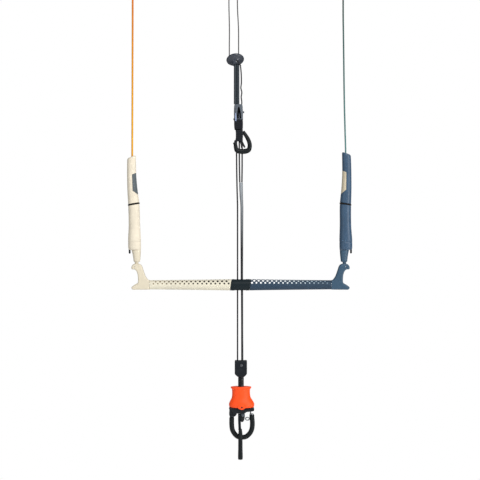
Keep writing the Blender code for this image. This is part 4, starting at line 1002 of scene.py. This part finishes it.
DOTS_L = grip_dots("dots_left", [(0.0, srgb(22, 20, 18)), (0.42, srgb(44, 38, 30)), (0.75, srgb(92, 78, 58)), (1.0, srgb(140, 124, 96))],
                   BAR_X - 24, BAR_X - 214)
DOTS_R = grip_dots("dots_right", [(0.0, srgb(255, 255, 255)), (0.40, srgb(226, 232, 234)), (0.72, srgb(160, 178, 188)), (1.0, srgb(96, 120, 138))],
                   BAR_X + 24, BAR_X + 214)
for side, sgn, mat, angles, first, dots in (("left", -1, "cream_grip", (15.0, 43.0, 67.0), 28.2, DOTS_L),
                                            ("right", 1, "blue_grip", (24.0, 50.0, 72.0), 27.6, DOTS_R)):
    n = 96
    rings = []
    stations = [(23.7, -0.5), (23.9, -0.2), (24.4, 0.0)] + [(24.4 + (216.4 - 24.4) * k / 60, 0.0) for k in range(1, 61)] + [(217.2, -0.25), (217.6, -0.7)]
    for d, dr in stations:
        r0 = grip_r(d) + dr
        ring = []
        for j in range(n):
            a = 2 * math.pi * j / n
            # parting grooves low on both faces
            deg = math.degrees(a) % 360
            g = 0.0
            for mark in (180 + 20, 360 - 20):
                g = max(g, 0.35 * max(0.0, 1 - abs(deg - mark) / 3.8))
            ring.append((BAR_X + sgn * d + ((r0 * math.sin(a)) * SLANT * max(0.0, 1 - (d - 23.7) / 12.0)), r0 * math.cos(a) * (1 - g / r0),
                         BAR_Z + (r0 - g) * math.sin(a)))
        rings.append(ring)
    bore = 9.2
    rings.append([(BAR_X + sgn * 217.6, bore * math.cos(2 * math.pi * j / n), BAR_Z + bore * math.sin(2 * math.pi * j / n)) for j in range(n)])
    rings.append([(BAR_X + sgn * 23.7 + bore * math.sin(2 * math.pi * j / n) * SLANT, bore * math.cos(2 * math.pi * j / n),
                   BAR_Z + bore * math.sin(2 * math.pi * j / n)) for j in range(n)])
    grip = made("grip_" + side + "_foam", loft(rings, looped=True), mat, smooth=40)
    holes, plugs = bmesh.new(), bmesh.new()
    pitch = 10.6
    for row, ang in enumerate(angles):
        for back in (False, True):
            a = math.radians(180 - ang if back else ang)
            # a is measured from the front (-Y) upwards
            for k in range(18):
                d = first + pitch * (k + (0.5 if row == 1 else 0.0)) + (4.0 if row != 1 else -4.0) * 0.0
                if d > 209:
                    continue
                t = (d - 24) / 190.0
                hr_ = (2.45 - 0.75 * t) * (1.0, 1.24, 0.8)[row]
                r0 = grip_r(d)
                out = Vector((0, -math.cos(a), math.sin(a)))
                c = Vector((BAR_X + sgn * d, 0, BAR_Z)) + out * r0
                q = Vector((0, 0, 1)).rotation_difference(out).to_matrix().to_4x4()
                for target, r_, z0, z1 in ((holes, hr_, -0.9, 2.0), (plugs, hr_ * 0.96, -0.85, -0.22)):
                    b2 = bmesh.new()
                    bmesh.ops.create_cone(b2, cap_ends=True, segments=14, radius1=r_ * MM, radius2=r_ * MM, depth=(z1 - z0) * MM)
                    b2.transform(Matrix.Translation((c + out * ((z0 + z1) / 2)) * MM) @ q)
                    tmp = bpy.data.meshes.new("tmp")
                    b2.to_mesh(tmp)
                    b2.free()
                    target.from_mesh(tmp)
                    bpy.data.meshes.remove(tmp)
    carve(grip, cutter(holes))
    bake(grip, 40)
    settle(grip, "bar", "grip_" + side)
    add("grip_plugs_" + side, plugs, dots, "bar", (), smooth=30)

# winder ends
END_PTS = [(218.0, 11.2), (221.4, 12.0), (226.8, 18.7), (230.4, 27.1), (234.0, 37.9), (236.6, 45.1), (241.2, 49.6), (248.0, 50.5),
           (254.4, 50.4), (259.0, 47.5), (261.5, 42.0), (260.2, 37.4), (254.4, 37.0), (249.8, 33.1), (246.7, 25.9),
           (245.5, 13.9), (246.2, 5.2), (253.2, 0.7), (260.0, -4.4), (261.2, -8.2), (257.6, -11.4), (248.0, -11.5), (236.0, -11.5), (226.0, -11.4), (218.0, -11.2)]


def end_outline(pts, per=5):
    """Smooth everywhere but at the straight inner edge."""
    p = [Vector((a, b, 0)) for a, b in pts]
    q = [2 * p[0] - p[1]] + p + [2 * p[-1] - p[-2]]
    out = []
    for i in range(1, len(q) - 2):
        for k in range(per):
            t = k / per
            a, b, c, d = q[i - 1], q[i], q[i + 1], q[i + 2]
            w = 0.5 * ((2 * b) + (c - a) * t + (2 * a - 5 * b + 4 * c - d) * t * t + (3 * b - a - 3 * c + d) * t ** 3)
            out.append((w.x, w.y))
    out.append((p[-1].x, p[-1].y))
    for k in range(1, 8):
        z = p[-1].y + (p[0].y - p[-1].y) * k / 8
        out.append((218.0, z))
    return out


for side, sgn, mat in (("left", -1, "cream_plastic"), ("right", 1, "blue_plastic")):
    pts = [(BAR_X + sgn * d, BAR_Z + z) for d, z in end_outline(END_PTS)]
    end = made("bar_end_" + side + "_moulding", pebble(pts, -9.4, 9.4, 3.4, 6, pin=BAR_X + sgn * 218.0), mat, smooth=40)
    carve(end, cutter(turned(sorted([(9.2, BAR_X + sgn * 200), (9.2, BAR_X + sgn * 238.5)], key=lambda q: q[1]), (0, 0, BAR_Z), axis="X", n=48)))
    ball = bmesh.new()
    bmesh.ops.create_uvsphere(ball, u_segments=32, v_segments=20, radius=5.2 * MM)
    ball.transform(Matrix.Translation(Vector((BAR_X + sgn * NECK_DX, 0, BAR_Z + NECK_DZ)) * MM))
    carve(end, cutter(ball))
    carve(end, cutter(turned([(1.3, -20), (1.3, 20)], (BAR_X + sgn * 252.6, 0, BAR_Z + 43.6), axis="Y", n=20)))
    bake(end, 40)
    settle(end, "bar", "bar_end_" + side)

# ------------------------------------------------------------- line floats
SECTIONS = ((29.1, 14.5, 11.4, 11.6), (30.6, 17.6, 11.8, 13.2), (34.0, 18.6, 12.0, 14.2), (52.8, 18.2, 12.5, 15.0),
            (88.8, 15.2, 12.1, 14.5), (137.0, 14.4, 12.5, 14.0), (172.8, 14.9, 9.3, 13.0), (208.8, 14.2, 7.7, 12.0),
            (240.0, 12.9, 8.4, 10.8), (247.0, 12.5, 8.7, 10.4))
BAND = (137.3, 140.7)
CORE_R, CORE_TOP, LIFT_MM, POW = 4.4, 236.0, 4.6, 2.35


def section_at(h):
    s = SECTIONS
    h = max(s[0][0], min(s[-1][0], h))
    for i in range(len(s) - 1):
        a, b = s[i], s[i + 1]
        if h <= b[0]:
            t = (h - a[0]) / (b[0] - a[0])
            if i < 3 or i > 7:
                return tuple(a[k] + (b[k] - a[k]) * t for k in (1, 2, 3))
            p, q = s[i - 1], s[i + 2]
            out = []
            for k in (1, 2, 3):
                m0 = (b[k] - p[k]) / (b[0] - p[0]) * (b[0] - a[0])
                m1 = (q[k] - a[k]) / (q[0] - a[0]) * (b[0] - a[0])
                out.append((2 * t ** 3 - 3 * t * t + 1) * a[k] + (t ** 3 - 2 * t * t + t) * m0 + (-2 * t ** 3 + 3 * t * t) * b[k] + (t ** 3 - t * t) * m1)
            return tuple(out)
    return s[-1][1:]


def oval(out, inn, dep, n=64, grow=0.0):
    c, a, b = (inn - out) / 2, (inn + out) / 2 + grow, dep + grow
    pts = []
    for i in range(n):
        t = 2 * math.pi * i / n
        ct, st_ = math.cos(t), math.sin(t)
        pts.append((c + a * math.copysign(abs(ct) ** (2 / POW), ct), b * math.copysign(abs(st_) ** (2 / POW), st_)))
    return pts


def float_ring(h, slope=0.0, grow=0.0, top=None, n=64):
    o, i, d = top or section_at(h)
    return [(x, y, h + slope * x) for x, y in oval(o, i, d, n, grow)]


def bore_ring(h, r, slope=0.0, n=64):
    return [(r * math.cos(2 * math.pi * k / n), r * math.sin(2 * math.pi * k / n), h + slope * r * math.cos(2 * math.pi * k / n)) for k in range(n)]


def steps(a, b, n):
    return [a + (b - a) * k / n for k in range(n + 1)]


for side, sgn, lean, add_len, col in (("left", -1, 2.35, 0.0, "cream"), ("right", 1, 0.7, 8.0, "blue")):
    mirror = Matrix.Diagonal((1, 1, 1, 1)) if sgn < 0 else Matrix.Diagonal((-1, 1, 1, 1))
    fr = (Matrix.Translation(Vector((BAR_X + sgn * NECK_DX, 0, BAR_Z + NECK_DZ)) * MM) @ Matrix.Rotation(math.radians(lean * sgn), 4, "Y") @ mirror)

    def up(h):
        return h + add_len * max(0.0, min(1.0, (h - 141.0) / 100.0))

    def put(rings):
        return [[(x, y, up(z) + LIFT_MM) for x, y, z in r] for r in rings]

    def at(bm):
        bm.transform(fr)
        return bm

    body = "float_" + side
    # neck
    n = 48
    rings = [[(r * math.cos(2 * math.pi * k / n), r * math.sin(2 * math.pi * k / n), z) for k in range(n)]
             for r, z in ((0.7, -4.3), (1.9, -3.9), (3.0, -3.1), (3.8, -2.0), (4.25, -0.8), (4.4, 0.0), (4.4, LIFT_MM))]
    for h, o, i, d in ((0.0, 5.6, 7.2, 6.0), (0.5, 6.2, 8.0, 6.6), (2.0, 7.0, 8.8, 7.4), (5.2, 7.2, 9.2, 7.7), (5.8, 7.0, 9.0, 7.5), (6.4, 7.3, 9.3, 7.8),
                       (9.6, 7.6, 9.7, 8.1), (10.2, 7.4, 9.5, 7.9), (10.8, 7.7, 9.8, 8.2), (14.4, 8.1, 10.2, 8.6), (21.0, 9.2, 10.9, 9.5),
                       (27.0, 10.4, 11.3, 10.4), (28.2, 10.6, 11.3, 10.4), (28.8, 10.2, 10.9, 9.8)):
        rings.append([(x, y, h + LIFT_MM + 0.1) for x, y in oval(o, i, d, n)])
    rings.append([(x, y, 28.8 + LIFT_MM + 0.1) for x, y, _ in bore_ring(0, CORE_R, n=n)])
    rings.append([(x, y, up(CORE_TOP) + LIFT_MM) for x, y, _ in bore_ring(0, CORE_R, n=n)])
    add("float_neck_" + side + "_moulding", at(loft(rings)), col + "_plastic", body, "float_neck_" + side, smooth=40)
    # lower half, with the shallow seam above its foot
    sl = 0.13
    hs = [29.1, 29.5, 30.3, 31.4, 33.0, 35.0, 38.0, 42.0, 46.6, 47.3, 47.8, 48.3, 49.0] + steps(53.0, 112.0, 20)
    rings = []
    for h in hs:
        rings.append(float_ring(h, 0.0, -0.45 if 47.2 < h < 48.4 else 0.0))
    for t in (0.35, 0.7, 0.94):
        h = 112.0 + (BAND[0] - 0.3 - 112.0) * t
        rings.append(float_ring(h, sl * t))
    rings += [float_ring(BAND[0] - 0.8, sl), float_ring(BAND[0] - 0.3, sl, -0.5), bore_ring(BAND[0] - 0.3, CORE_R + 0.3, sl), bore_ring(29.1, CORE_R + 0.3)]
    lower = add("float_lower_" + side + "_foam", at(loft(put(rings), looped=True)), col + "_foam", body, "float_lower_" + side, smooth=40)
    # elastic band in the joint
    rings = []
    for k in range(9):
        t = k / 8
        h = BAND[0] + (BAND[1] - BAND[0]) * t
        rings.append(float_ring(h, sl, -0.5 + 1.5 * math.sin(math.pi * t) ** 0.6))
    rings += [bore_ring(BAND[1], CORE_R + 0.3, sl), bore_ring(BAND[0], CORE_R + 0.3, sl)]
    add("float_band_" + side + "_elastic", at(loft(put(rings), looped=True)), "elastic", body, "float_band_" + side, smooth=60)
    # upper half
    st_ = 0.36
    rings = [float_ring(BAND[1] + 0.3, sl, -0.5), float_ring(BAND[1] + 0.8, sl)]
    for t in (0.25, 0.5, 0.75):
        rings.append(float_ring(BAND[1] + 0.8 + (172.8 - BAND[1] - 0.8) * t, sl * (1 - t)))
    rings += [float_ring(h) for h in steps(172.8, 236.0, 18)]
    for h, q, g in ((241.0, 0.35, 0.0), (245.0, 0.7, 0.0), (249.0, 1.0, 0.0), (250.6, 1.0, -0.25), (251.8, 1.0, -0.8), (252.6, 1.0, -1.7), (253.0, 1.0, -2.8)):
        o, i, d = section_at(min(h, 247.0))
        rings.append(float_ring(h, st_ * q, g, top=(o, i, d)))
    rings += [bore_ring(253.2, 3.4, st_), bore_ring(252.6, 2.7, st_), bore_ring(CORE_TOP + 2.0, 2.5), bore_ring(CORE_TOP + 2.0, CORE_R + 0.3),
              bore_ring(BAND[1] + 0.3, CORE_R + 0.3, sl)]

    def c_section(h, depth, slope, shrink, arc_n=40):
        o, i, d = section_at(h)
        edge = -1.6 + shrink
        c, a, b = (i - o) / 2, (i + o) / 2 - depth, d - depth
        t0 = math.acos(max(-1.0, min(1.0, math.copysign(abs((edge - c) / a) ** (POW / 2), edge - c))))
        pts = [(edge, -25.0), (25.0, -25.0), (25.0, 25.0), (edge, 25.0)]
        for k in range(arc_n + 1):
            t = t0 * (1 - 2 * k / arc_n)
            ct, s_ = math.cos(t), math.sin(t)
            pts.append((c + a * math.copysign(abs(ct) ** (2 / POW), ct), b * math.copysign(abs(s_) ** (2 / POW), s_)))
        return [(x, y, h + slope * (x - 8.0)) for x, y in pts]

    upper = made("float_upper_" + side + "_foam", at(loft(put(rings), looped=True)), col + "_foam", smooth=40)
    inlay = made("float_inlay_" + side + "_pad", at(loft(put([[tuple(p) for p in r] for r in rings]), looped=True)),
                 "slate_foam" if sgn < 0 else "tan_foam", smooth=40)
    big = at(loft(put([c_section(h, 1.9, s_, 0.0) for h, s_ in ((163.0, -0.8), (178.0, 0.0), (187.0, 0.0), (196.0, 0.0), (213.5, 0.4))])))
    small = at(loft(put([c_section(h, 1.5, s_, 0.35) for h, s_ in ((163.4, -0.8), (178.0, 0.0), (187.0, 0.0), (196.0, 0.0), (213.1, 0.4))])))
    carve(upper, cutter(big))
    bake(upper, 40)
    carve(inlay, cutter(small), "INTERSECT")
    bake(inlay, 40)
    settle(upper, body, "float_upper_" + side)
    settle(inlay, body, "float_inlay_" + side)
    # cord tab under the outer step
    tab = bmesh.new()
    bmesh.ops.create_cube(tab, size=1.0)
    lo, hi = (-17.8, -2.2, 20.6 + LIFT_MM), (-13.4, 2.2, 33.0 + LIFT_MM)
    for v in tab.verts:
        for k in range(3):
            v.co[k] = ((lo[k] + hi[k]) / 2 + v.co[k] * (hi[k] - lo[k])) * MM
    bmesh.ops.bevel(tab, geom=list(tab.edges), offset=1.5 * MM, segments=4, affect="EDGES", profile=0.5)
    add("float_tab_" + side + "_cord", at(tab), "webbing", body, "float_tab_" + side)

# ------------------------------------------------------------------- swivel
SPIN_X = 18.6
hx0, hx1, HT = 3.6, 33.1, -927.1
house = [(hx0 + 1.2, HT - 0.1), (11.0, HT), (25.0, HT), (hx1 - 1.2, HT - 0.1), (hx1 - 0.1, HT - 2.5), (hx1, HT - 12), (hx1, -952), (hx1 - 0.4, -959.0),
         (30.0, -962.8), (26.0, -966.2), (22.0, -967.0), (15.0, -967.0), (11.2, -966.2), (7.0, -962.8), (hx0 + 0.4, -959.0), (hx0, -952), (hx0, HT - 12), (hx0 + 0.1, HT - 2.5)]
hs = smooth_outline(house, 4)
for nm, y0, y1 in (("swivel_front", -10.2, -0.12), ("swivel_back", 0.12, 10.2)):
    rings = []
    seg, r = 5, 2.4
    if y0 < 0:
        rings = [[(x, y0 + r * (1 - math.sin(math.pi / 2 * k / seg)), z) for x, z in offset_outline(hs, r * (1 - math.cos(math.pi / 2 * k / seg)))] for k in range(seg, -1, -1)]
        rings.append([(x, y1, z) for x, z in hs])
    else:
        rings = [[(x, y0, z) for x, z in hs]]
        rings += [[(x, y1 - r * (1 - math.sin(math.pi / 2 * k / seg)), z) for x, z in offset_outline(hs, r * (1 - math.cos(math.pi / 2 * k / seg)))] for k in range(0, seg + 1)]
    sw = made(nm + "_shell", loft(rings), "black_plastic")
    carve(sw, cutter(turned([(4.5, -975), (4.5, -957.4), (7.6, -957.2), (7.6, -947.6), (2.0, -947.2)], (SPIN_X, 0, 0), n=40)))
    carve(sw, cutter(turned([(3.7, -20), (3.7, -7.6), (2.4, -7.6), (2.4, 6.0)], (19.9, 0, -938.4), axis="Y", n=32)))
    if y0 < 0:
        # raised frame and a recessed panel below the screw
        carve(sw, cutter(pebble(smooth_outline([(9.0, -962.0), (18.5, -962.6), (28.0, -962.0), (29.4, -955.0), (28.4, -948.4), (18.5, -947.6), (8.6, -948.4), (7.6, -955.0)], 4), -12.0, -9.5, 0.4, 3)))
    bake(sw)
    settle(sw, "trimmer", nm)
screw = made("swivel_screw_head", turned([(2.4, -10.05), (3.0, -9.9), (3.3, -9.5), (3.3, -7.9), (2.0, -7.9), (2.0, 5.4)], (19.9, 0, -938.4), axis="Y", n=40), "dark_steel")
hexa = loft([[(19.9 + 1.5 * math.cos(math.pi / 3 * k), y, -938.4 + 1.5 * math.sin(math.pi / 3 * k)) for k in range(6)] for y in (-12.0, -8.6)])
carve(screw, cutter(hexa))
settle(screw, "trimmer", "swivel_screw")
add("swivel_stem_shaft", turned([(1.0, -948.6), (5.8, -949.0), (6.8, -949.7), (7.2, -950.8), (7.2, -956.6), (4.1, -956.9), (4.1, -967.3), (5.9, -967.4), (6.6, -967.9),
                                 (6.8, -968.8), (6.8, -996.3), (10.0, -996.4), (10.4, -996.8), (10.4, -998.2), (10.0, -998.6), (6.8, -998.7), (6.8, -1027.0), (6.2, -1027.6)][::-1],
                                (SPIN_X, 0, 0), n=48), "black_gloss", "qr", "swivel_stem", smooth=40)

# ------------------------------------------------------------ quick release
def sring(hx, hy, z, cx=18.7, n=96):
    return [(cx + hx * math.cos(2 * math.pi * i / n), hy * math.sin(2 * math.pi * i / n), z) for i in range(n)]


def sround(r, z, n=96):
    return [(SPIN_X + r * math.cos(2 * math.pi * i / n), r * math.sin(2 * math.pi * i / n), z) for i in range(n)]


def smooth_rings(keys, per=4):
    """Catmull-Rom through (hx, hy, z, cx)."""
    p = [2 * Vector(keys[0]) - Vector(keys[1])] + [Vector(k) for k in keys] + [2 * Vector(keys[-1]) - Vector(keys[-2])]
    out = []
    for i in range(1, len(p) - 2):
        for k in range(per):
            t = k / per
            a, b, c, d = p[i - 1], p[i], p[i + 1], p[i + 2]
            out.append(0.5 * ((2 * b) + (c - a) * t + (2 * a - 5 * b + 4 * c - d) * t * t + (3 * b - a - 3 * c + d) * t ** 3))
    out.append(p[-2])
    return out


rim = [(22.9, 16.4, -990.0, 18.7), (23.8, 17.1, -990.2, 18.7), (24.5, 17.6, -990.8, 18.7), (24.7, 17.7, -991.8, 18.7), (24.4, 17.4, -993.4, 18.7)]
waist = [(24.4, 17.4, -993.4, 18.7), (22.4, 16.2, -995.4, 18.7), (21.6, 15.7, -998.0, 18.7), (21.4, 15.5, -1004.0, 18.8), (21.8, 15.7, -1011.0, 19.0), (22.9, 16.3, -1016.5, 19.3),
         (26.0, 17.8, -1022.0, 19.7), (28.8, 19.3, -1027.0, 20.0), (30.3, 20.0, -1031.5, 20.2), (30.2, 20.0, -1035.0, 20.2), (29.4, 19.7, -1038.2, 20.2), (28.8, 19.3, -1039.4, 20.2)]
outer = [sring(k[0], k[1], k[2], k[3]) for k in [Vector(q) for q in rim[:-1]]]
outer += [sring(k[0], k[1], k[2], k[3]) for k in smooth_rings(waist)]
inner = [sring(27.4, 18.0, -1039.6, 20.2), sring(27.2, 17.8, -1039.0, 20.2), sring(27.2, 17.8, -1028.0, 20.2), sround(7.3, -1027.0), sround(7.3, -1024.2), sround(12.6, -1024.0),
         sround(12.6, -996.0), sround(7.2, -995.8), sround(7.2, -990.6), sround(7.8, -990.0)]
sleeve = made("release_sleeve_moulding", loft(outer + inner, looped=True), "orange", smooth=40)
tongue = smooth_outline([(10.2, -1034.0), (20.3, -1034.2), (30.4, -1034.0), (29.6, -1038.8), (25.4, -1042.2), (20.3, -1043.7), (15.2, -1042.2), (11.0, -1038.8)], 4)
carve(sleeve, cutter(pebble(tongue, -20.4, -17.2, 0.8, 3)), "UNION")
# the sighting mark cut in the tongue
carve(sleeve, cutter(prism([(17.1, -1039.8), (24.1, -1039.8), (20.6, -1035.2)], -24.0, -19.3)))
bake(sleeve, 40)
settle(sleeve, "qr_sleeve", "release_sleeve")
add("release_mark", prism([(17.35, -1039.65), (23.85, -1039.65), (20.6, -1035.4)], -19.9, -19.25), "black_gloss", "qr_sleeve", ())
turns, wire, sr, z0, z1 = 3, 0.85, 9.3, -999.8, -1022.9
n = turns * 40
coil = [(SPIN_X + sr * math.cos(2 * math.pi * i / 40), sr * math.sin(2 * math.pi * i / 40), z0 + (z1 - z0) * i / n) for i in range(n + 1)]
spring = rope("release_spring_coil", coil, wire, "steel", "qr", "release_spring", n=12)
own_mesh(spring)

base_out = [(-8.4, -1040.3), (10.0, -1040.2), (30.0, -1040.2), (46.6, -1040.3), (49.6, -1041.8), (50.2, -1045.2), (47.8, -1048.0), (40.0, -1049.2), (31.4, -1050.4), (27.2, -1053.2),
            (10.0, -1053.5), (-7.8, -1053.6), (-9.1, -1051.0), (-9.2, -1044.0)]
base = made("release_base_body", pebble(smooth_outline(base_out, 4), -13.0, 13.0, 1.8, 4), "black_plastic")
plug = loft([sring(25.4, 16.0, -1028.4, 20.2, 72), sring(26.4, 17.0, -1029.4, 20.2, 72), sring(26.6, 17.2, -1030.4, 20.2, 72), sring(26.6, 17.2, -1038.4, 20.2, 72),
             sring(25.6, 15.4, -1040.6, 20.2, 72), sring(24.0, 12.2, -1042.0, 20.2, 72)])
carve(base, cutter(plug), "UNION")
cheek = smooth_outline([(-9.0, -1051.0), (0.0, -1050.8), (8.6, -1051.0), (8.8, -1053.6), (7.6, -1057.2), (4.2, -1060.6), (-1.4, -1062.8), (-7.2, -1062.2), (-9.3, -1058)], 4)
carve(base, cutter(pebble(cheek, -8.6, 8.6, 1.2, 3)), "UNION")
carve(base, cutter(prism([(-20.0, -1043.1), (3.4, -1043.1), (6.4, -1046.3), (6.1, -1075.0), (-20.0, -1075.0)], -3.4, 3.4)))
carve(base, cutter(turned([(2.5, -21), (2.5, 21)], (-2.4, 0, -1048.8), axis="Y", n=32)))
carve(base, cutter(turned([(2.8, -1060.0), (2.8, -1043.6)], (41.6, 0, 0), n=32)))
bake(base)
settle(base, "qr", "release_base")
add("loop_hinge_pin_shaft", turned([(1.5, -12.9), (2.1, -12.5), (2.3, -12.0), (2.3, 12.0), (2.1, 12.5), (1.5, 12.9)], (-2.4, 0, -1048.8), axis="Y", n=32),
    "black_gloss", "qr", "loop_hinge_pin")
camp = smooth_outline([(16.2, -1054.0), (21.0, -1053.9), (26.6, -1054.1), (28.0, -1058.0), (27.8, -1063.0), (26.0, -1071.0), (22.6, -1074.8), (18.8, -1074.2), (16.6, -1067.0), (16.0, -1060.0)], 4)
add("release_cam_lever", pebble(camp, -5.0, 5.0, 1.6, 4), "black_gloss", "qr", "release_cam")
# a grey plate on the cam's upper front: painted highlight on the black lever
add("release_cam_highlight_plate", pebble(smooth_outline([(19.4, -1054.4), (23.4, -1054.2), (27.2, -1054.6), (27.4, -1058.6), (24.6, -1062.2), (21.0, -1061.4), (19.2, -1058.4)], 4), -5.9, -4.6, 0.5, 3),
    "cleat_grey", "qr", ())
kr = [(34.2 + 4.6 * math.cos(2 * math.pi * i / 48), 0.0, -1067.4 + 3.4 * math.sin(2 * math.pi * i / 48)) for i in range(48)]
rope("keeper_ring_wire", kr, 1.3, "ring_steel", "loop", "keeper_ring", n=14, closed=True)

# ------------------------------------------------------------- harness loop
lp = [(-3.6, 0, -1064.8), (-3.6, 0, -1080.0), (-2.2, 0, -1092.6), (2.6, 0, -1102.4), (9.8, 0, -1109.5), (17.4, 0, -1111.6),
      (24.4, 0, -1111.6), (32.0, 0, -1109.5), (40.2, 0, -1101.6), (44.6, 0, -1092.0), (46.0, 0, -1079.0), (45.2, 0, -1067.0), (44.5, 0, -1058.4)]
lpp = spaced(smooth_path(lp, 8), 1.2)
chicken = made("chicken_loop_tube", rounded_tube(tube(lpp, [(5.85, 5.6)] * len(lpp), n=40), 0.5), "loop_rubber", smooth=40)
lug = smooth_outline([(-5.0, -1045.0), (-2.4, -1044.6), (0.2, -1045.0), (1.8, -1047.4), (1.8, -1053.0), (1.6, -1058), (1.4, -1068.5), (-3.4, -1070.0), (-8.2, -1068.5), (-8.0, -1058),
                      (-7.4, -1052.0), (-6.8, -1047.4)], 4)
carve(chicken, cutter(pebble(lug, -2.9, 2.9, 0.7, 3)), "UNION")
carve(chicken, cutter(turned([(2.5, -21), (2.5, 21)], (-2.4, 0, -1048.8), axis="Y", n=32)))
bake(chicken, 40)
settle(chicken, "loop", "chicken_loop")
add("loop_latch_tip", loft([circle((x, 0, z), r, 36) for x, r, z in ((44.4, 4.2, -1060.4), (44.3, 4.3, -1058.0), (44.2, 4.7, -1057.6), (44.2, 5.1, -1057.2), (44.2, 5.1, -1056.0), (44.1, 4.8, -1055.5), (43.9, 4.2, -1055.0),
                                                                     (42.6, 2.4, -1054.8), (41.6, 1.6, -1054.4), (41.6, 1.5, -1053.0), (41.6, 1.5, -1047.0), (41.6, 0.9, -1046.4))]),
    "ring_steel", "loop", "loop_latch_pin", smooth=40)

# ------------------------------------------------------------------- finger
sp = [(11.8, -1054.3), (15.0, -1054.2), (18.2, -1054.3), (18.3, -1060), (18.2, -1070), (18.5, -1080), (18.9, -1088), (18.9, -1093.6), (15.6, -1093.9), (12.5, -1093.6),
      (12.4, -1088), (12.1, -1080), (11.6, -1070), (11.6, -1060)]
add("finger_strap_web", pebble(smooth_outline(sp, 5), -10.8, -7.5, 0.7, 3), "webbing", "finger", "finger_strap")
rod = [(2.3, -1089.6), (3.4, -1090.4), (3.9, -1092.4), (4.3, -1095.4), (4.8, -1099.4), (5.1, -1103.5), (5.2, -1109.0), (5.2, -1116.0), (5.3, -1138.0), (5.7, -1150.0), (5.8, -1158.0),
       (5.6, -1161.6), (4.8, -1163.2), (2.0, -1163.8)]
add("finger_rod_tube", turned(rod[::-1], (17.2, -12.0, 0), n=40), "loop_rubber", "finger", "finger_rod", smooth=40)

# --------------------------------------------------- CAD pieces that stay on
def dress(node, mat):
    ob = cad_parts[node]
    if not ob.material_slots:
        ob.data.materials.append(M[mat])
    for s_ in ob.material_slots:
        s_.material = M[mat]


dress("line_bushing", "steel")
dress("bar_tube_left", "steel_x")
dress("bar_tube_right", "steel_x")

lo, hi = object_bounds()
